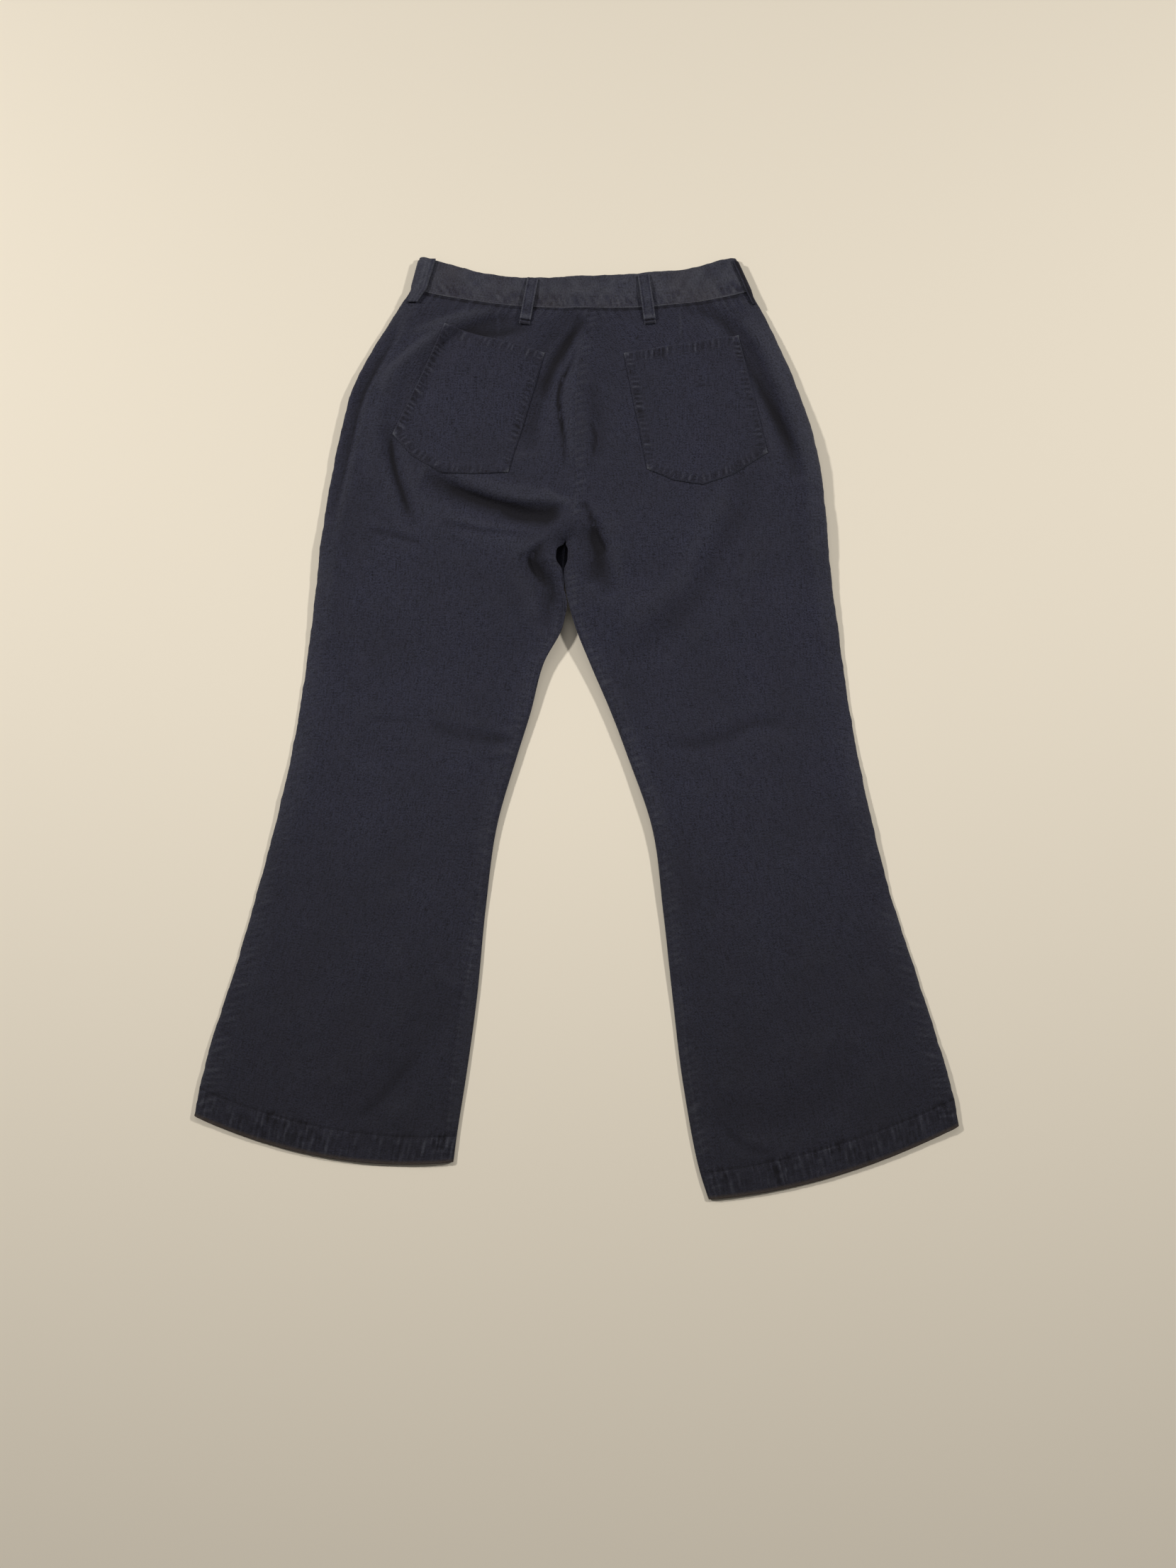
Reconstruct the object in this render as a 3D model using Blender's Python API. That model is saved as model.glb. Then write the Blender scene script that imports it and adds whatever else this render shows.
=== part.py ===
"""Flared jeans laid flat on a surface with their back side up.

The origin is the middle of the footprint on the surface, +X points to the garment's right as it lies,
+Y from the hems to the waist, and +Z up out of the surface. Lengths here are millimetres until a mesh
is made, which is in metres.

Each leg is a table of sections from the waist seam to the hem. A section runs from the side fold (outer)
to the rise seam or the inseam (inner). The front panel lies on the surface, and the back panel lies on it
and joins it along the folds, a seam's gap above it.
"""

from collections import namedtuple

import bpy
import numpy as np
from mathutils import Vector
from mathutils.bvhtree import BVHTree

MM = 0.001

# Cloth thicknesses and the gap between sewn pieces
WALL = 1.4
BAND_WALL = 1.8
HEM_WALL = 2.6
POCKET_WALL = 1.3
LOOP_WALL = 1.6
GAP = 0.3

# The rounded edge where the back panel turns over to the front panel
SEAM_HEIGHT = 3.5
BACK_ROLL = 9.0
FRONT_ROLL = 6.0
ROLL_ANGLES = np.radians([0.0, 30.0, 60.0, 90.0])
EDGE_PUFF = 1.6
EDGE_PUFF_WIDTH = 14.0

# Grids: columns between the rounded edges
BACK_COLUMNS = 16
FRONT_COLUMNS = 6

# Least height of the back panel's outer face, so that the layers never meet
LEAST_HEIGHT = 4.0
LEAST_HEM_HEIGHT = 6.2

# The waistband
BAND_PROUD = 0.5
BAND_ROWS = 3
BAND_COLUMNS = 18

# How far the front of the waist lies below the back, and over what length of the front panels this fades out
FRONT_DIP = 9.0
DIP_FADE = 120.0

# The lapped ends, as shares of the way from the left fold to the right: where each ends, and where the inner
# one rises over the outer one
OUTER_END, INNER_END = 0.54, 0.46
RISE_FROM, RISE_TO = 0.59, 0.55
LAP_MARGIN = 0.02

# The waist button, which lies under the lapped ends of the band
BUTTON_X, BUTTON_Y = 4.0, 493.0
BUTTON_RADIUS = 8.5
BUTTON_THICKNESS = 2.0
BUTTON_LIFT = 3.0
LIFT_WIDTH = 40.0
BUTTON_SIDES = 24

# The hem's turned-up band: how far its step takes, and how far it stands proud
HEM_STEP = 1.5
HEM_PROUD = 0.5

Section = namedtuple("Section", "outer_x outer_y inner_x inner_y bow outer_height inner_height roll steps")
FORK = 6

# The first seven sections of both legs share their inner end, which lies on the rise seam.
LEFT_LEG = [
    Section(-197, 507, 14.0, 482, -6.25, 7.0, 9.4, 18, 3),
    Section(-225, 462, 7.5, 446, -6, 7.5, 10.0, 18, 4),
    Section(-261, 394, -1.0, 385, -2, 8.0, 12.5, 20, 4),
    Section(-280, 319, -2.2, 315, 0, 8.5, 15.5, 22, 4),
    Section(-291, 257, -2.3, 255, 0, 8.5, 19.0, 26, 2),
    Section(-296, 222, -5.7, 222, 0, 8.5, 21.0, 30, 2),
    Section(-299, 198, -14.0, 200, 0, 8.5, 20.0, 32, 2),
    Section(-303, 150, -14.8, 150, 0, 8.0, 15.0, 30, 2),
    Section(-308, 102, -16.0, 102, 0, 8.0, 11.5, 20, 2),
    Section(-313, 58, -37.5, 60, 0, 7.5, 9.0, 13, 1),
    Section(-320, 5, -53.0, 2, 0, 7.2, 8.0, 11, 1),
    Section(-328, -45, -69.0, -50, 0, 7.0, 7.4, 11, 1),
    Section(-343, -118, -91.0, -128, 0, 6.6, 7.0, 11, 2),
    Section(-363.5, -200, -103.5, -222, -1, 6.6, 6.8, 11, 2),
    Section(-388, -292, -113.0, -325, -4, 6.6, 6.8, 11, 2),
    Section(-413, -374, -124.5, -412, -10, 6.8, 6.8, 10, 1),
    Section(-424.5, -425, -134.5, -478, -18, 7.2, 7.2, 9, 2),
    Section(-430, -455, -138.0, -506, -20, 7.6, 7.6, 9, 0),
]
RIGHT_LEG = [
    Section(207, 504, 14.0, 482, -5.5, 7.0, 9.4, 18, 3),
    Section(228, 462, 7.5, 446, -5, 7.5, 10.0, 18, 4),
    Section(257, 394, -1.0, 385, -2, 8.0, 12.5, 20, 4),
    Section(280, 319, -2.2, 315, 0, 8.5, 15.5, 22, 4),
    Section(289, 257, -2.3, 255, 0, 8.5, 19.0, 26, 2),
    Section(291.5, 222, -5.7, 222, 0, 8.5, 21.0, 30, 2),
    Section(293, 198, -14.0, 200, 0, 8.5, 20.0, 32, 2),
    Section(297, 150, -13.6, 150, 0, 8.0, 15.0, 30, 2),
    Section(303, 102, -2.0, 102, 0, 8.0, 11.5, 20, 2),
    Section(308, 58, 15.5, 58, 0, 7.5, 9.0, 13, 1),
    Section(315, 5, 39.5, 2, 0, 7.2, 8.0, 11, 1),
    Section(323, -45, 59.0, -50, 0, 7.0, 7.4, 11, 1),
    Section(337, -118, 86.0, -130, 0, 6.6, 7.0, 11, 2),
    Section(357, -203, 98.5, -226, -1, 6.6, 6.8, 11, 2),
    Section(383.5, -290, 109.0, -325, -4, 6.6, 6.8, 11, 2),
    Section(409.5, -376, 121.0, -425, -8, 6.8, 6.8, 10, 1),
    Section(425, -437, 139.0, -519, -13, 7.2, 7.2, 9, 2),
    Section(430, -466, 148.0, -547, -15, 7.6, 7.6, 9, 0),
]

# A fold's height is negative for a trough. Its two widths are on the left and right of its path's direction.
Fold = namedtuple("Fold", "height left_width right_width path")
FOLDS = {
    "rise_trough": Fold(-5.5, 13, 24,
        [(8, 474), (-16, 442), (-33, 416), (-43, 381), (-52, 343), (-55, 305)]),
    "rise_ridge": Fold(3.0, 26, 10, [(9, 452), (-1, 410), (-8, 370), (-9, 326), (-6, 288)]),
    "left_seat_ridge": Fold(3.5, 12, 16, [(-182, 300), (-128, 275), (-78, 261), (-20, 256)]),
    "left_seat_trough": Fold(-8.0, 10, 20,
        [(-178, 285), (-136, 262), (-94, 245), (-53, 233), (-16, 234)]),
    "left_seat_crease": Fold(-2.5, 9, 9, [(-222, 343), (-215, 300), (-202, 258), (-188, 220)]),
    "left_hip_trough": Fold(-2.2, 9, 9,
        [(-209, 476), (-246, 412), (-268, 351), (-279, 300), (-288, 241), (-294, 182)]),
    "left_hip_ridge": Fold(3.0, 14, 14,
        [(-92, 484), (-138, 463), (-183, 437), (-212, 403), (-233, 360), (-244, 262)]),
    "left_yoke_trough": Fold(-3.5, 14, 14,
        [(-62, 472), (-104, 466), (-142, 448), (-171, 407), (-182, 360)]),
    "right_hip_trough": Fold(-4.0, 12, 11,
        [(118, 488), (169, 476), (198, 442), (221, 390), (242, 334), (262, 275)]),
    "right_hip_ridge": Fold(2.5, 11, 11,
        [(156, 494), (206, 455), (231, 403), (255, 343), (273, 268)]),
    "right_seat_dent": Fold(-3.0, 13, 12, [(16, 390), (26, 343), (22, 295)]),
    "left_thigh_trough": Fold(-5.0, 13, 13, [(-62, 190), (-45, 165), (-30, 131), (-28, 95)]),
    "right_thigh_trough": Fold(-3.0, 10, 12, [(18, 232), (30, 182), (37, 135)]),
    "right_thigh_diagonal": Fold(-4.0, 22, 20,
        [(203, 290), (192, 241), (158, 182), (141, 140), (100, 98), (55, 62)]),
    "right_thigh_ridge": Fold(3.0, 20, 22,
        [(179, 270), (154, 224), (125, 165), (88, 131), (42, 96)]),
    "left_knee_crease": Fold(-1.6, 9, 9, [(-175, -10), (-125, -25), (-60, -32)]),
    "right_knee_crease": Fold(-1.4, 10, 10, [(95, -34), (160, -30), (201, -11), (246, -10)]),
    "left_calf_trough": Fold(-2.4, 18, 22,
        [(-135, -310), (-168, -355), (-202, -406), (-234, -436), (-270, -470)]),
    "right_calf_trough": Fold(-2.2, 20, 20,
        [(150, -452), (198, -452), (237, -448), (277, -428), (316, -375)]),
}
FOLD_STEPS = 24

# Outer corners of the patch pockets: opening from left to right, then the pointed foot from left to right
Pocket = namedtuple("Pocket", "opening foot")
LEFT_POCKET = Pocket([(-156, 464), (-38, 430)], [(-218, 333), (-160, 284), (-80, 284)])
RIGHT_POCKET = Pocket([(55, 428), (191, 452)], [(82, 289), (153, 271), (224, 310)])
POCKET_CELLS = 9
PATCH_CLEARANCE = 0.5
FINE_STEPS = 4
RESTING_ROUNDS = 6
RESTING_SHARE = 0.6

# Back belt loops: middle of the upper and of the lower end, and width
BackLoop = namedtuple("BackLoop", "top bottom width")
BACK_LOOPS = {
    "belt_loop_back_left": BackLoop((-52, 519.5), (-62, 463.5), 13),
    "belt_loop_back_right": BackLoop((78.5, 523.5), (86.5, 463.5), 14),
}
LOOP_ARCH = 1.2
LOOP_STATIONS = 10

# Side belt loops, which turn over the fold: where their inner edge lies at each end, and their ends' y
SideLoop = namedtuple("SideLoop", "side top_y bottom_y top_reach bottom_reach")
SIDE_LOOPS = {
    "belt_loop_side_left": SideLoop(-1, 543.0, 490.0, 24.0, 20.0),
    "belt_loop_side_right": SideLoop(1, 541.0, 487.0, 7.0, 8.0),
}

# Upper edge of the waistband on the back, and the x of its two folds at the upper edge
BAND_TOP_X = np.array([-187, -169, -141, -107, -66, 1, 87, 144, 166, 189], float)
BAND_TOP_Y = np.array([547, 543, 535, 526, 521.5, 521.5, 528, 535.5, 542, 545.5], float)

# The section of a side belt loop round the fold, in degrees above level, and how far each point lies inward
# past the rounded edge, as a share of the loop's reach
SIDE_LOOP_TURN = np.radians([90, 90, 90, 60, 30, 0, -20, -50])
SIDE_LOOP_INWARD = np.array([1, 0.5, 0, 0, 0, 0, 0, 0])
SIDE_LOOP_ROUNDED = 0.8
SIDE_LOOP_LOWEST = 0.1

# The facing behind the fly, on the inside of the front, and where its foot begins to curve in
FLY_TOP, FLY_FOOT, FLY_WIDTH = 470.0, 305.0, 38.0
FLY_LEFT = 6.0
FLY_ROWS, FLY_COLUMNS = 9, 3
FLY_CURVE_FROM, FLY_CURVE_LONG = 0.7, 0.3

# Edges sharper than this stay crisp
CREASE_ANGLE = np.radians(50)

# Each finish: linear colour, roughness and metallic value
Finish = namedtuple("Finish", "colour roughness metallic")
DENIM = Finish((0.020, 0.022, 0.042), 0.9, 0.0)
BUTTON_METAL = Finish((0.20, 0.19, 0.18), 0.4, 1.0)


def smooth(at, values, query):
    """Cubic curve through the values, with each slope taken from its neighbours."""
    slope = np.gradient(values, at)
    k = np.clip(np.searchsorted(at, query, side="right") - 1, 0, len(at) - 2)
    step = at[k + 1] - at[k]
    t = (query - at[k]) / step
    start = (1 + 2 * t) * (1 - t) ** 2 * values[k] + t * (1 - t) ** 2 * step * slope[k]
    end = t**2 * (3 - 2 * t) * values[k + 1] + t**2 * (t - 1) * step * slope[k + 1]
    return start + end


def roll_over(distance, radius):
    """A quarter ellipse: 0 at the edge, 1 from the radius on."""
    share = np.clip(distance / radius, 0, 1)
    return np.sqrt(1 - (1 - share) ** 2)


def fold_path(fold):
    """Even points on a smooth curve through the fold's path."""
    points = np.array(fold.path, float)
    at = np.r_[0, np.cumsum(np.hypot(*np.diff(points, axis=0).T))]
    query = np.linspace(0, at[-1], FOLD_STEPS)
    return np.stack([smooth(at, points[:, 0], query), smooth(at, points[:, 1], query)], axis=1)


def fold_height(fold, x, y):
    """Height of one fold: a bell across its path, unequal on its two sides, fading to its ends."""
    path = fold_path(fold)
    start, run = path[:-1], np.diff(path, axis=0)
    offset_x, offset_y = x[..., None] - start[:, 0], y[..., None] - start[:, 1]
    share = np.clip((offset_x * run[:, 0] + offset_y * run[:, 1]) / (run**2).sum(1), 0, 1)
    distance = np.hypot(offset_x - share * run[:, 0], offset_y - share * run[:, 1])
    nearest = distance.argmin(-1)[..., None]
    side = np.take_along_axis(run[:, 0] * offset_y - run[:, 1] * offset_x, nearest, -1)[..., 0]
    along = (nearest[..., 0] + np.take_along_axis(share, nearest, -1)[..., 0]) / len(run)
    width = np.where(side > 0, fold.left_width, fold.right_width)
    across = np.take_along_axis(distance, nearest, -1)[..., 0] / width
    return fold.height * (1 - (2 * along - 1) ** 4) * np.exp(-(across**2))


def folds_at(x, y):
    return sum(fold_height(fold, x, y) for fold in FOLDS.values())


def lift_at(x, y):
    """How far the waist button lifts the layers that lie over it."""
    return BUTTON_LIFT * np.exp(-((x - BUTTON_X) ** 2 + (y - BUTTON_Y) ** 2) / LIFT_WIDTH**2)


class Panel:
    """Rows and columns over one leg, as a grid of x, y and distances from its edges."""

    def __init__(self, leg, columns, edge_roll, coarse):
        table = {name: np.array([getattr(s, name) for s in leg], float) for name in Section._fields}
        middle_x = (table["outer_x"] + table["inner_x"]) / 2
        middle_y = (table["outer_y"] + table["inner_y"]) / 2
        at = np.r_[0, np.cumsum(np.hypot(np.diff(middle_x), np.diff(middle_y)))]
        steps = [max(1, s.steps // coarse) for s in leg[:-1]]
        rows = [np.linspace(at[k], at[k + 1], n, endpoint=False) for k, n in enumerate(steps)]
        rows = np.r_[np.concatenate(rows), at[-1]]
        rows = np.sort(np.r_[rows, at[-2] + HEM_STEP])
        self.side = np.sign(leg[0].outer_x)
        self.row_at = rows
        self.in_hem = rows > at[-2] + HEM_STEP / 2
        self.on_rise = rows < at[FORK] - 1e-6
        now = {name: smooth(at, values, rows)[:, None] for name, values in table.items()}
        inner_x = now["inner_x"] + self.side * GAP / 2
        run_x, run_y = inner_x - now["outer_x"], now["inner_y"] - now["outer_y"]
        length = np.hypot(run_x, run_y)
        shares = 1 - np.cos(ROLL_ANGLES)
        from_outer = edge_roll * shares
        inner_roll = now["roll"] if coarse == 1 else np.full_like(now["roll"], edge_roll)
        from_inner = inner_roll * shares[::-1]
        middle = np.linspace(0, 1, columns + 1)[1:-1]
        middle = edge_roll + (length - inner_roll - edge_roll) * middle
        edge = np.repeat(from_outer[None], len(rows), 0)
        self.outer_distance = np.concatenate([edge, middle, length - from_inner], 1)
        share = self.outer_distance / length
        self.x = now["outer_x"] + run_x * share
        self.y = now["outer_y"] + run_y * share + 4 * now["bow"] * share * (1 - share)
        self.share = share
        self.inward = np.stack([run_x / length, run_y / length, np.zeros_like(length)], -1)[:, 0]
        above_fork = np.maximum(now["inner_y"] - leg[FORK].inner_y, 0)
        self.inner_distance = np.hypot(length - self.outer_distance, above_fork)
        self.inner_roll = inner_roll
        self.now = now

    def back_height(self):
        """Height of the back panel's outer face."""
        now, share = self.now, self.share
        height = now["outer_height"] + (now["inner_height"] - now["outer_height"]) * share**2
        puff = np.exp(-(((self.outer_distance - BACK_ROLL) / EDGE_PUFF_WIDTH) ** 2))
        height = height + EDGE_PUFF * puff + folds_at(self.x, self.y) + lift_at(self.x, self.y)
        hem = self.in_hem[:, None]
        height = np.maximum(height, np.where(hem, LEAST_HEM_HEIGHT, LEAST_HEIGHT)) + HEM_PROUD * hem
        edges = roll_over(self.outer_distance, BACK_ROLL) * roll_over(self.inner_distance, self.inner_roll)
        return SEAM_HEIGHT + (height - SEAM_HEIGHT) * edges

    def front_height(self):
        """Height of the front panel's outer face, which lies on the surface and turns up at its edges."""
        edges = roll_over(self.outer_distance, FRONT_ROLL) * roll_over(self.inner_distance, FRONT_ROLL)
        return (SEAM_HEIGHT - GAP) * (1 - edges) + lift_at(self.x, self.y) * edges

    def wall_direction(self, outer, up):
        """Outward direction at each point: across the cloth, level at the folds, in the seam's plane at a seam."""
        along, across = np.gradient(outer, axis=0), np.gradient(outer, axis=1)
        normal = np.cross(along, across)
        normal *= np.sign(normal[..., 2:]) * up
        normal /= np.linalg.norm(normal, axis=-1, keepdims=True)
        vertical = np.array([0, 0, up])
        rising = np.sin(ROLL_ANGLES)[:, None] * vertical
        for k, hold in enumerate((1, 1, 1, 0.5)):
            level = np.cos(ROLL_ANGLES[k]) * self.inward
            normal[:, k] = hold * (rising[k] - level) + (1 - hold) * normal[:, k]
            legs = ~self.on_rise
            normal[legs, -1 - k] = hold * (rising[k] + level[legs]) + (1 - hold) * normal[legs, -1 - k]
        rise = self.on_rise
        normal[rise, -1, 0] = 0
        normal[0, :, 1] = 0
        return normal / np.linalg.norm(normal, axis=-1, keepdims=True)


def panel_points(panel, front):
    """Outer and inner points of a panel's wall."""
    x, y = panel.x, panel.y.copy()
    if front:
        fade = np.clip(1 - panel.row_at / DIP_FADE, 0, 1)[:, None] ** 2
        y -= waist_dip(x) * fade
    z = panel.front_height() if front else panel.back_height()
    y[0] -= GAP / 2
    outer = np.stack([x, y, z], -1)
    direction = panel.wall_direction(outer, -1 if front else 1)
    thickness = np.where(panel.in_hem, HEM_WALL, WALL)[:, None, None]
    return outer, outer - direction * thickness


def waist_dip(x):
    """How far the front of the waist lies below the back, none at the two folds."""
    middle = (LEFT_LEG[0].outer_x + RIGHT_LEG[0].outer_x) / 2
    half = (RIGHT_LEG[0].outer_x - LEFT_LEG[0].outer_x) / 2
    return FRONT_DIP * (1 - np.clip((x - middle) / half, -1, 1) ** 2)


def waist_seam(x):
    """The y and the height of the back panels' upper edge at x."""
    legs = [(LEFT_LEG[0], x < LEFT_LEG[0].inner_x), (RIGHT_LEG[0], x >= LEFT_LEG[0].inner_x)]
    y, height = np.zeros_like(x), np.zeros_like(x)
    for top, here in legs:
        share = np.clip((x - top.outer_x) / (top.inner_x - top.outer_x), 0, 1)
        seam = top.outer_y + (top.inner_y - top.outer_y) * share + 4 * top.bow * share * (1 - share)
        level = top.outer_height + (top.inner_height - top.outer_height) * share**2
        distance = abs(x - top.outer_x) - BACK_ROLL
        level = level + EDGE_PUFF * np.exp(-((distance / EDGE_PUFF_WIDTH) ** 2))
        y, height = np.where(here, seam, y), np.where(here, level, height)
    height = height + folds_at(x, y) + lift_at(x, y)
    return y, np.maximum(height, LEAST_HEIGHT) + BAND_PROUD


def grid_mesh(outer, inner):
    """Points and faces of the closed wall between two grids of points."""
    rows, columns = outer.shape[:2]
    points = np.concatenate([outer.reshape(-1, 3), inner.reshape(-1, 3)]) * MM
    index = np.arange(rows * columns).reshape(rows, columns)
    below = index + rows * columns
    corners = index[:-1, :-1], index[:-1, 1:], index[1:, 1:], index[1:, :-1]
    face = np.stack(corners, -1).reshape(-1, 4)
    back = face[:, [0, 3, 2, 1]] + rows * columns
    rim = np.concatenate([index[0], index[1:, -1], index[-1, -2::-1], index[-2:0:-1, 0]])
    under = np.concatenate([below[0], below[1:, -1], below[-1, -2::-1], below[-2:0:-1, 0]])
    side = np.stack([rim, under, np.roll(under, -1), np.roll(rim, -1)], -1)
    faces = np.concatenate([face, back, side])
    a, b, c, d = (points[faces[:, k]] for k in range(4))
    volume = (np.cross(a, b) * c).sum() + (np.cross(a, c) * d).sum()
    if volume < 0:
        faces = faces[:, [0, 3, 2, 1]]
    return points.tolist(), faces.tolist()


def add_solid(name, points, faces, finish=DENIM):
    """An object with its own material, made from points in metres and faces."""
    mesh = bpy.data.meshes.new(name)
    mesh.from_pydata(points, [], faces)
    mesh.update()
    mesh.shade_smooth()
    mesh.set_sharp_from_angle(angle=CREASE_ANGLE)
    material = bpy.data.materials.new(name + "_finish")
    material.use_nodes = True
    shader = material.node_tree.nodes["Principled BSDF"]
    shader.inputs["Base Color"].default_value = (*finish.colour, 1)
    shader.inputs["Roughness"].default_value = finish.roughness
    shader.inputs["Metallic"].default_value = finish.metallic
    mesh.materials.append(material)
    solid = bpy.data.objects.new(name, mesh)
    bpy.context.scene.collection.objects.link(solid)
    return solid


def add_panels():
    """The four leg panels. Returns the two back ones and the two front ones."""
    backs, fronts = [], []
    for leg, side in ((LEFT_LEG, "left"), (RIGHT_LEG, "right")):
        back = Panel(leg, BACK_COLUMNS, BACK_ROLL, 1)
        front = Panel(leg, FRONT_COLUMNS, FRONT_ROLL, 2)
        backs.append(add_solid("back_" + side, *grid_mesh(*panel_points(back, False))))
        fronts.append(add_solid("front_" + side, *grid_mesh(*panel_points(front, True))))
    return backs, fronts


def band_ring(level):
    """Outer points and outward directions round the band, from level 0 at its seam to 1 at its upper edge."""
    seam_left, seam_right = LEFT_LEG[0].outer_x, RIGHT_LEG[0].outer_x
    left = seam_left + (BAND_TOP_X[0] - seam_left) * level
    right = seam_right + (BAND_TOP_X[-1] - seam_right) * level
    length = right - left
    shares = 1 - np.cos(ROLL_ANGLES)
    middle = np.linspace(0, 1, BAND_COLUMNS + 1)[1:-1]

    def run(roll, across):
        return np.r_[roll * shares, roll + (length - 2 * roll) * across, length - roll * shares[::-1]]

    back, front = run(BACK_ROLL, middle), run(FRONT_ROLL, middle[::2])
    share = front[::-1] / length
    outer_lap = np.r_[OUTER_END, share[share < OUTER_END - LAP_MARGIN][:-1]]
    inner_lap = np.r_[share[share > RISE_FROM + LAP_MARGIN][1:], RISE_FROM, RISE_TO, INNER_END]
    x = left + np.r_[outer_lap * length, back, inner_lap * length]
    under = np.r_[np.ones(len(outer_lap)), np.zeros(len(back)), np.ones(len(inner_lap))] > 0
    second = np.arange(len(x)) >= len(outer_lap) + len(back)
    seam_x = seam_left + (x - left) / length * (seam_right - seam_left)
    seam_y, height = waist_seam(seam_x)
    top_y = smooth(BAND_TOP_X, BAND_TOP_Y, BAND_TOP_X[0] + (x - left) / length * np.ptp(BAND_TOP_X))
    y = seam_y + GAP / 2 + level * (top_y - seam_y - GAP / 2) - np.where(under, waist_dip(seam_x), 0)
    edge = np.minimum(x - left, right - x)
    rise = roll_over(edge, np.where(under, FRONT_ROLL, BACK_ROLL))
    risen = np.clip((RISE_FROM - (x - left) / length) / (RISE_FROM - RISE_TO), 0, 1)
    lap = np.where(second, (BAND_WALL + GAP) * risen, 0)
    back_z = SEAM_HEIGHT + (height - SEAM_HEIGHT) * rise
    front_z = SEAM_HEIGHT * (1 - rise) + lift_at(x, y) * rise + lap
    z = np.where(under, front_z, back_z)
    turn = np.arccos(1 - np.clip(edge / np.where(under, FRONT_ROLL, BACK_ROLL), 0, 1))
    outward = np.where(x - left < right - x, -1, 1) * np.cos(turn)
    direction = np.stack([outward, np.zeros_like(x), np.where(under, -1, 1) * np.sin(turn)], -1)
    return np.stack([x, y, z], -1), direction


def add_waistband():
    """One strip round the waist, whose ends lap at the middle of the front."""
    rings = [band_ring(level) for level in np.linspace(0, 1, BAND_ROWS + 1)]
    outer = np.array([ring[0] for ring in rings])
    direction = np.array([ring[1] for ring in rings])
    return add_solid("waistband", *grid_mesh(outer, outer - direction * BAND_WALL))


def height_under(trees, x, y):
    """Height of the highest of these solids at each x and y."""
    highest = np.zeros(x.shape)
    for place in np.ndindex(x.shape):
        start = Vector((x[place] * MM, y[place] * MM, 1))
        hits = [tree.ray_cast(start, Vector((0, 0, -1)))[0] for tree in trees]
        highest[place] = max([hit.z / MM for hit in hits if hit is not None], default=0)
    return highest


def tree_of(solid):
    return BVHTree.FromObject(solid, bpy.context.evaluated_depsgraph_get())


def spread_between(upper, lower, cells):
    """A grid of points between two edges, each a run of corners spaced evenly."""
    share = np.linspace(0, 1, cells + 1)
    edges = []
    for corners in (upper, lower):
        corners = np.array(corners, float)
        at = np.linspace(0, 1, len(corners))
        edges.append(np.stack([np.interp(share, at, corners[:, 0]), np.interp(share, at, corners[:, 1])], -1))
    return edges[0] + share[:, None, None] * (edges[1] - edges[0])


def refined(values):
    """A grid's values with FINE_STEPS steps put into each of its cells."""
    for _ in range(2):
        cells = len(values) - 1
        share = np.linspace(0, cells, cells * FINE_STEPS + 1)
        values = np.array([np.interp(share, np.arange(cells + 1), column) for column in values.T])
    return values


def resting_height(fine):
    """Heights at a coarse grid's points, so that its cells lie on the fine heights and not in them."""
    height = fine[::FINE_STEPS, ::FINE_STEPS].copy()
    for _ in range(RESTING_ROUNDS):
        short = np.maximum(fine - refined(height), 0)
        short = np.pad(short, FINE_STEPS - 1)
        for i, j in np.ndindex(height.shape):
            row, column = FINE_STEPS * i, FINE_STEPS * j
            near = short[row : row + 2 * FINE_STEPS - 1, column : column + 2 * FINE_STEPS - 1]
            height[i, j] += RESTING_SHARE * near.max()
    return height


def add_patch(name, spot, solids, thickness):
    """A layer that lies on these solids, over a fine grid of spots, and follows them just above."""
    fine = height_under([tree_of(s) for s in solids], spot[..., 0], spot[..., 1])
    ground = resting_height(fine) + PATCH_CLEARANCE
    inner = np.dstack([spot[::FINE_STEPS, ::FINE_STEPS], ground])
    add_solid(name, *grid_mesh(inner + [0, 0, thickness], inner))


def add_pocket(name, pocket, back):
    spot = spread_between(pocket.opening, pocket.foot, POCKET_CELLS * FINE_STEPS)
    add_patch(name, spot, [back], POCKET_WALL)


def widest(heights):
    """Each station's height, or a neighbour's where that is higher."""
    padded = np.pad(heights, ((1, 1), (0, 0)), mode="edge")
    return np.maximum(np.maximum(padded[:-2], padded[1:-1]), padded[2:])


def add_back_loop(name, loop, solids):
    """A belt loop over the band, bowed away from it between its sewn ends."""
    share = np.linspace(0, 1, LOOP_STATIONS + 1)[:, None]
    middle = np.array(loop.top) + (np.array(loop.bottom) - loop.top) * share
    run = np.array(loop.bottom, float) - loop.top
    sideways = np.array([-run[1], run[0]]) / np.hypot(*run)
    spot = middle[:, None] + sideways * (np.linspace(-0.5, 0.5, 3) * loop.width)[:, None]
    ground = widest(height_under([tree_of(s) for s in solids], spot[..., 0], spot[..., 1]))
    ground += GAP + LOOP_ARCH * np.sin(np.pi * share)
    inner = np.dstack([spot, ground])
    add_solid(name, *grid_mesh(inner + [0, 0, LOOP_WALL], inner))


def side_edge(side, y):
    """The x of the garment's side fold at y, over the band and the top of the panel."""
    leg = LEFT_LEG if side < 0 else RIGHT_LEG
    top_x, top_y = (BAND_TOP_X[0], BAND_TOP_Y[0]) if side < 0 else (BAND_TOP_X[-1], BAND_TOP_Y[-1])
    edge_y = np.array([leg[2].outer_y, leg[1].outer_y, leg[0].outer_y, top_y])
    edge_x = np.array([leg[2].outer_x, leg[1].outer_x, leg[0].outer_x, top_x])
    return np.interp(y, edge_y, edge_x)


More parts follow.
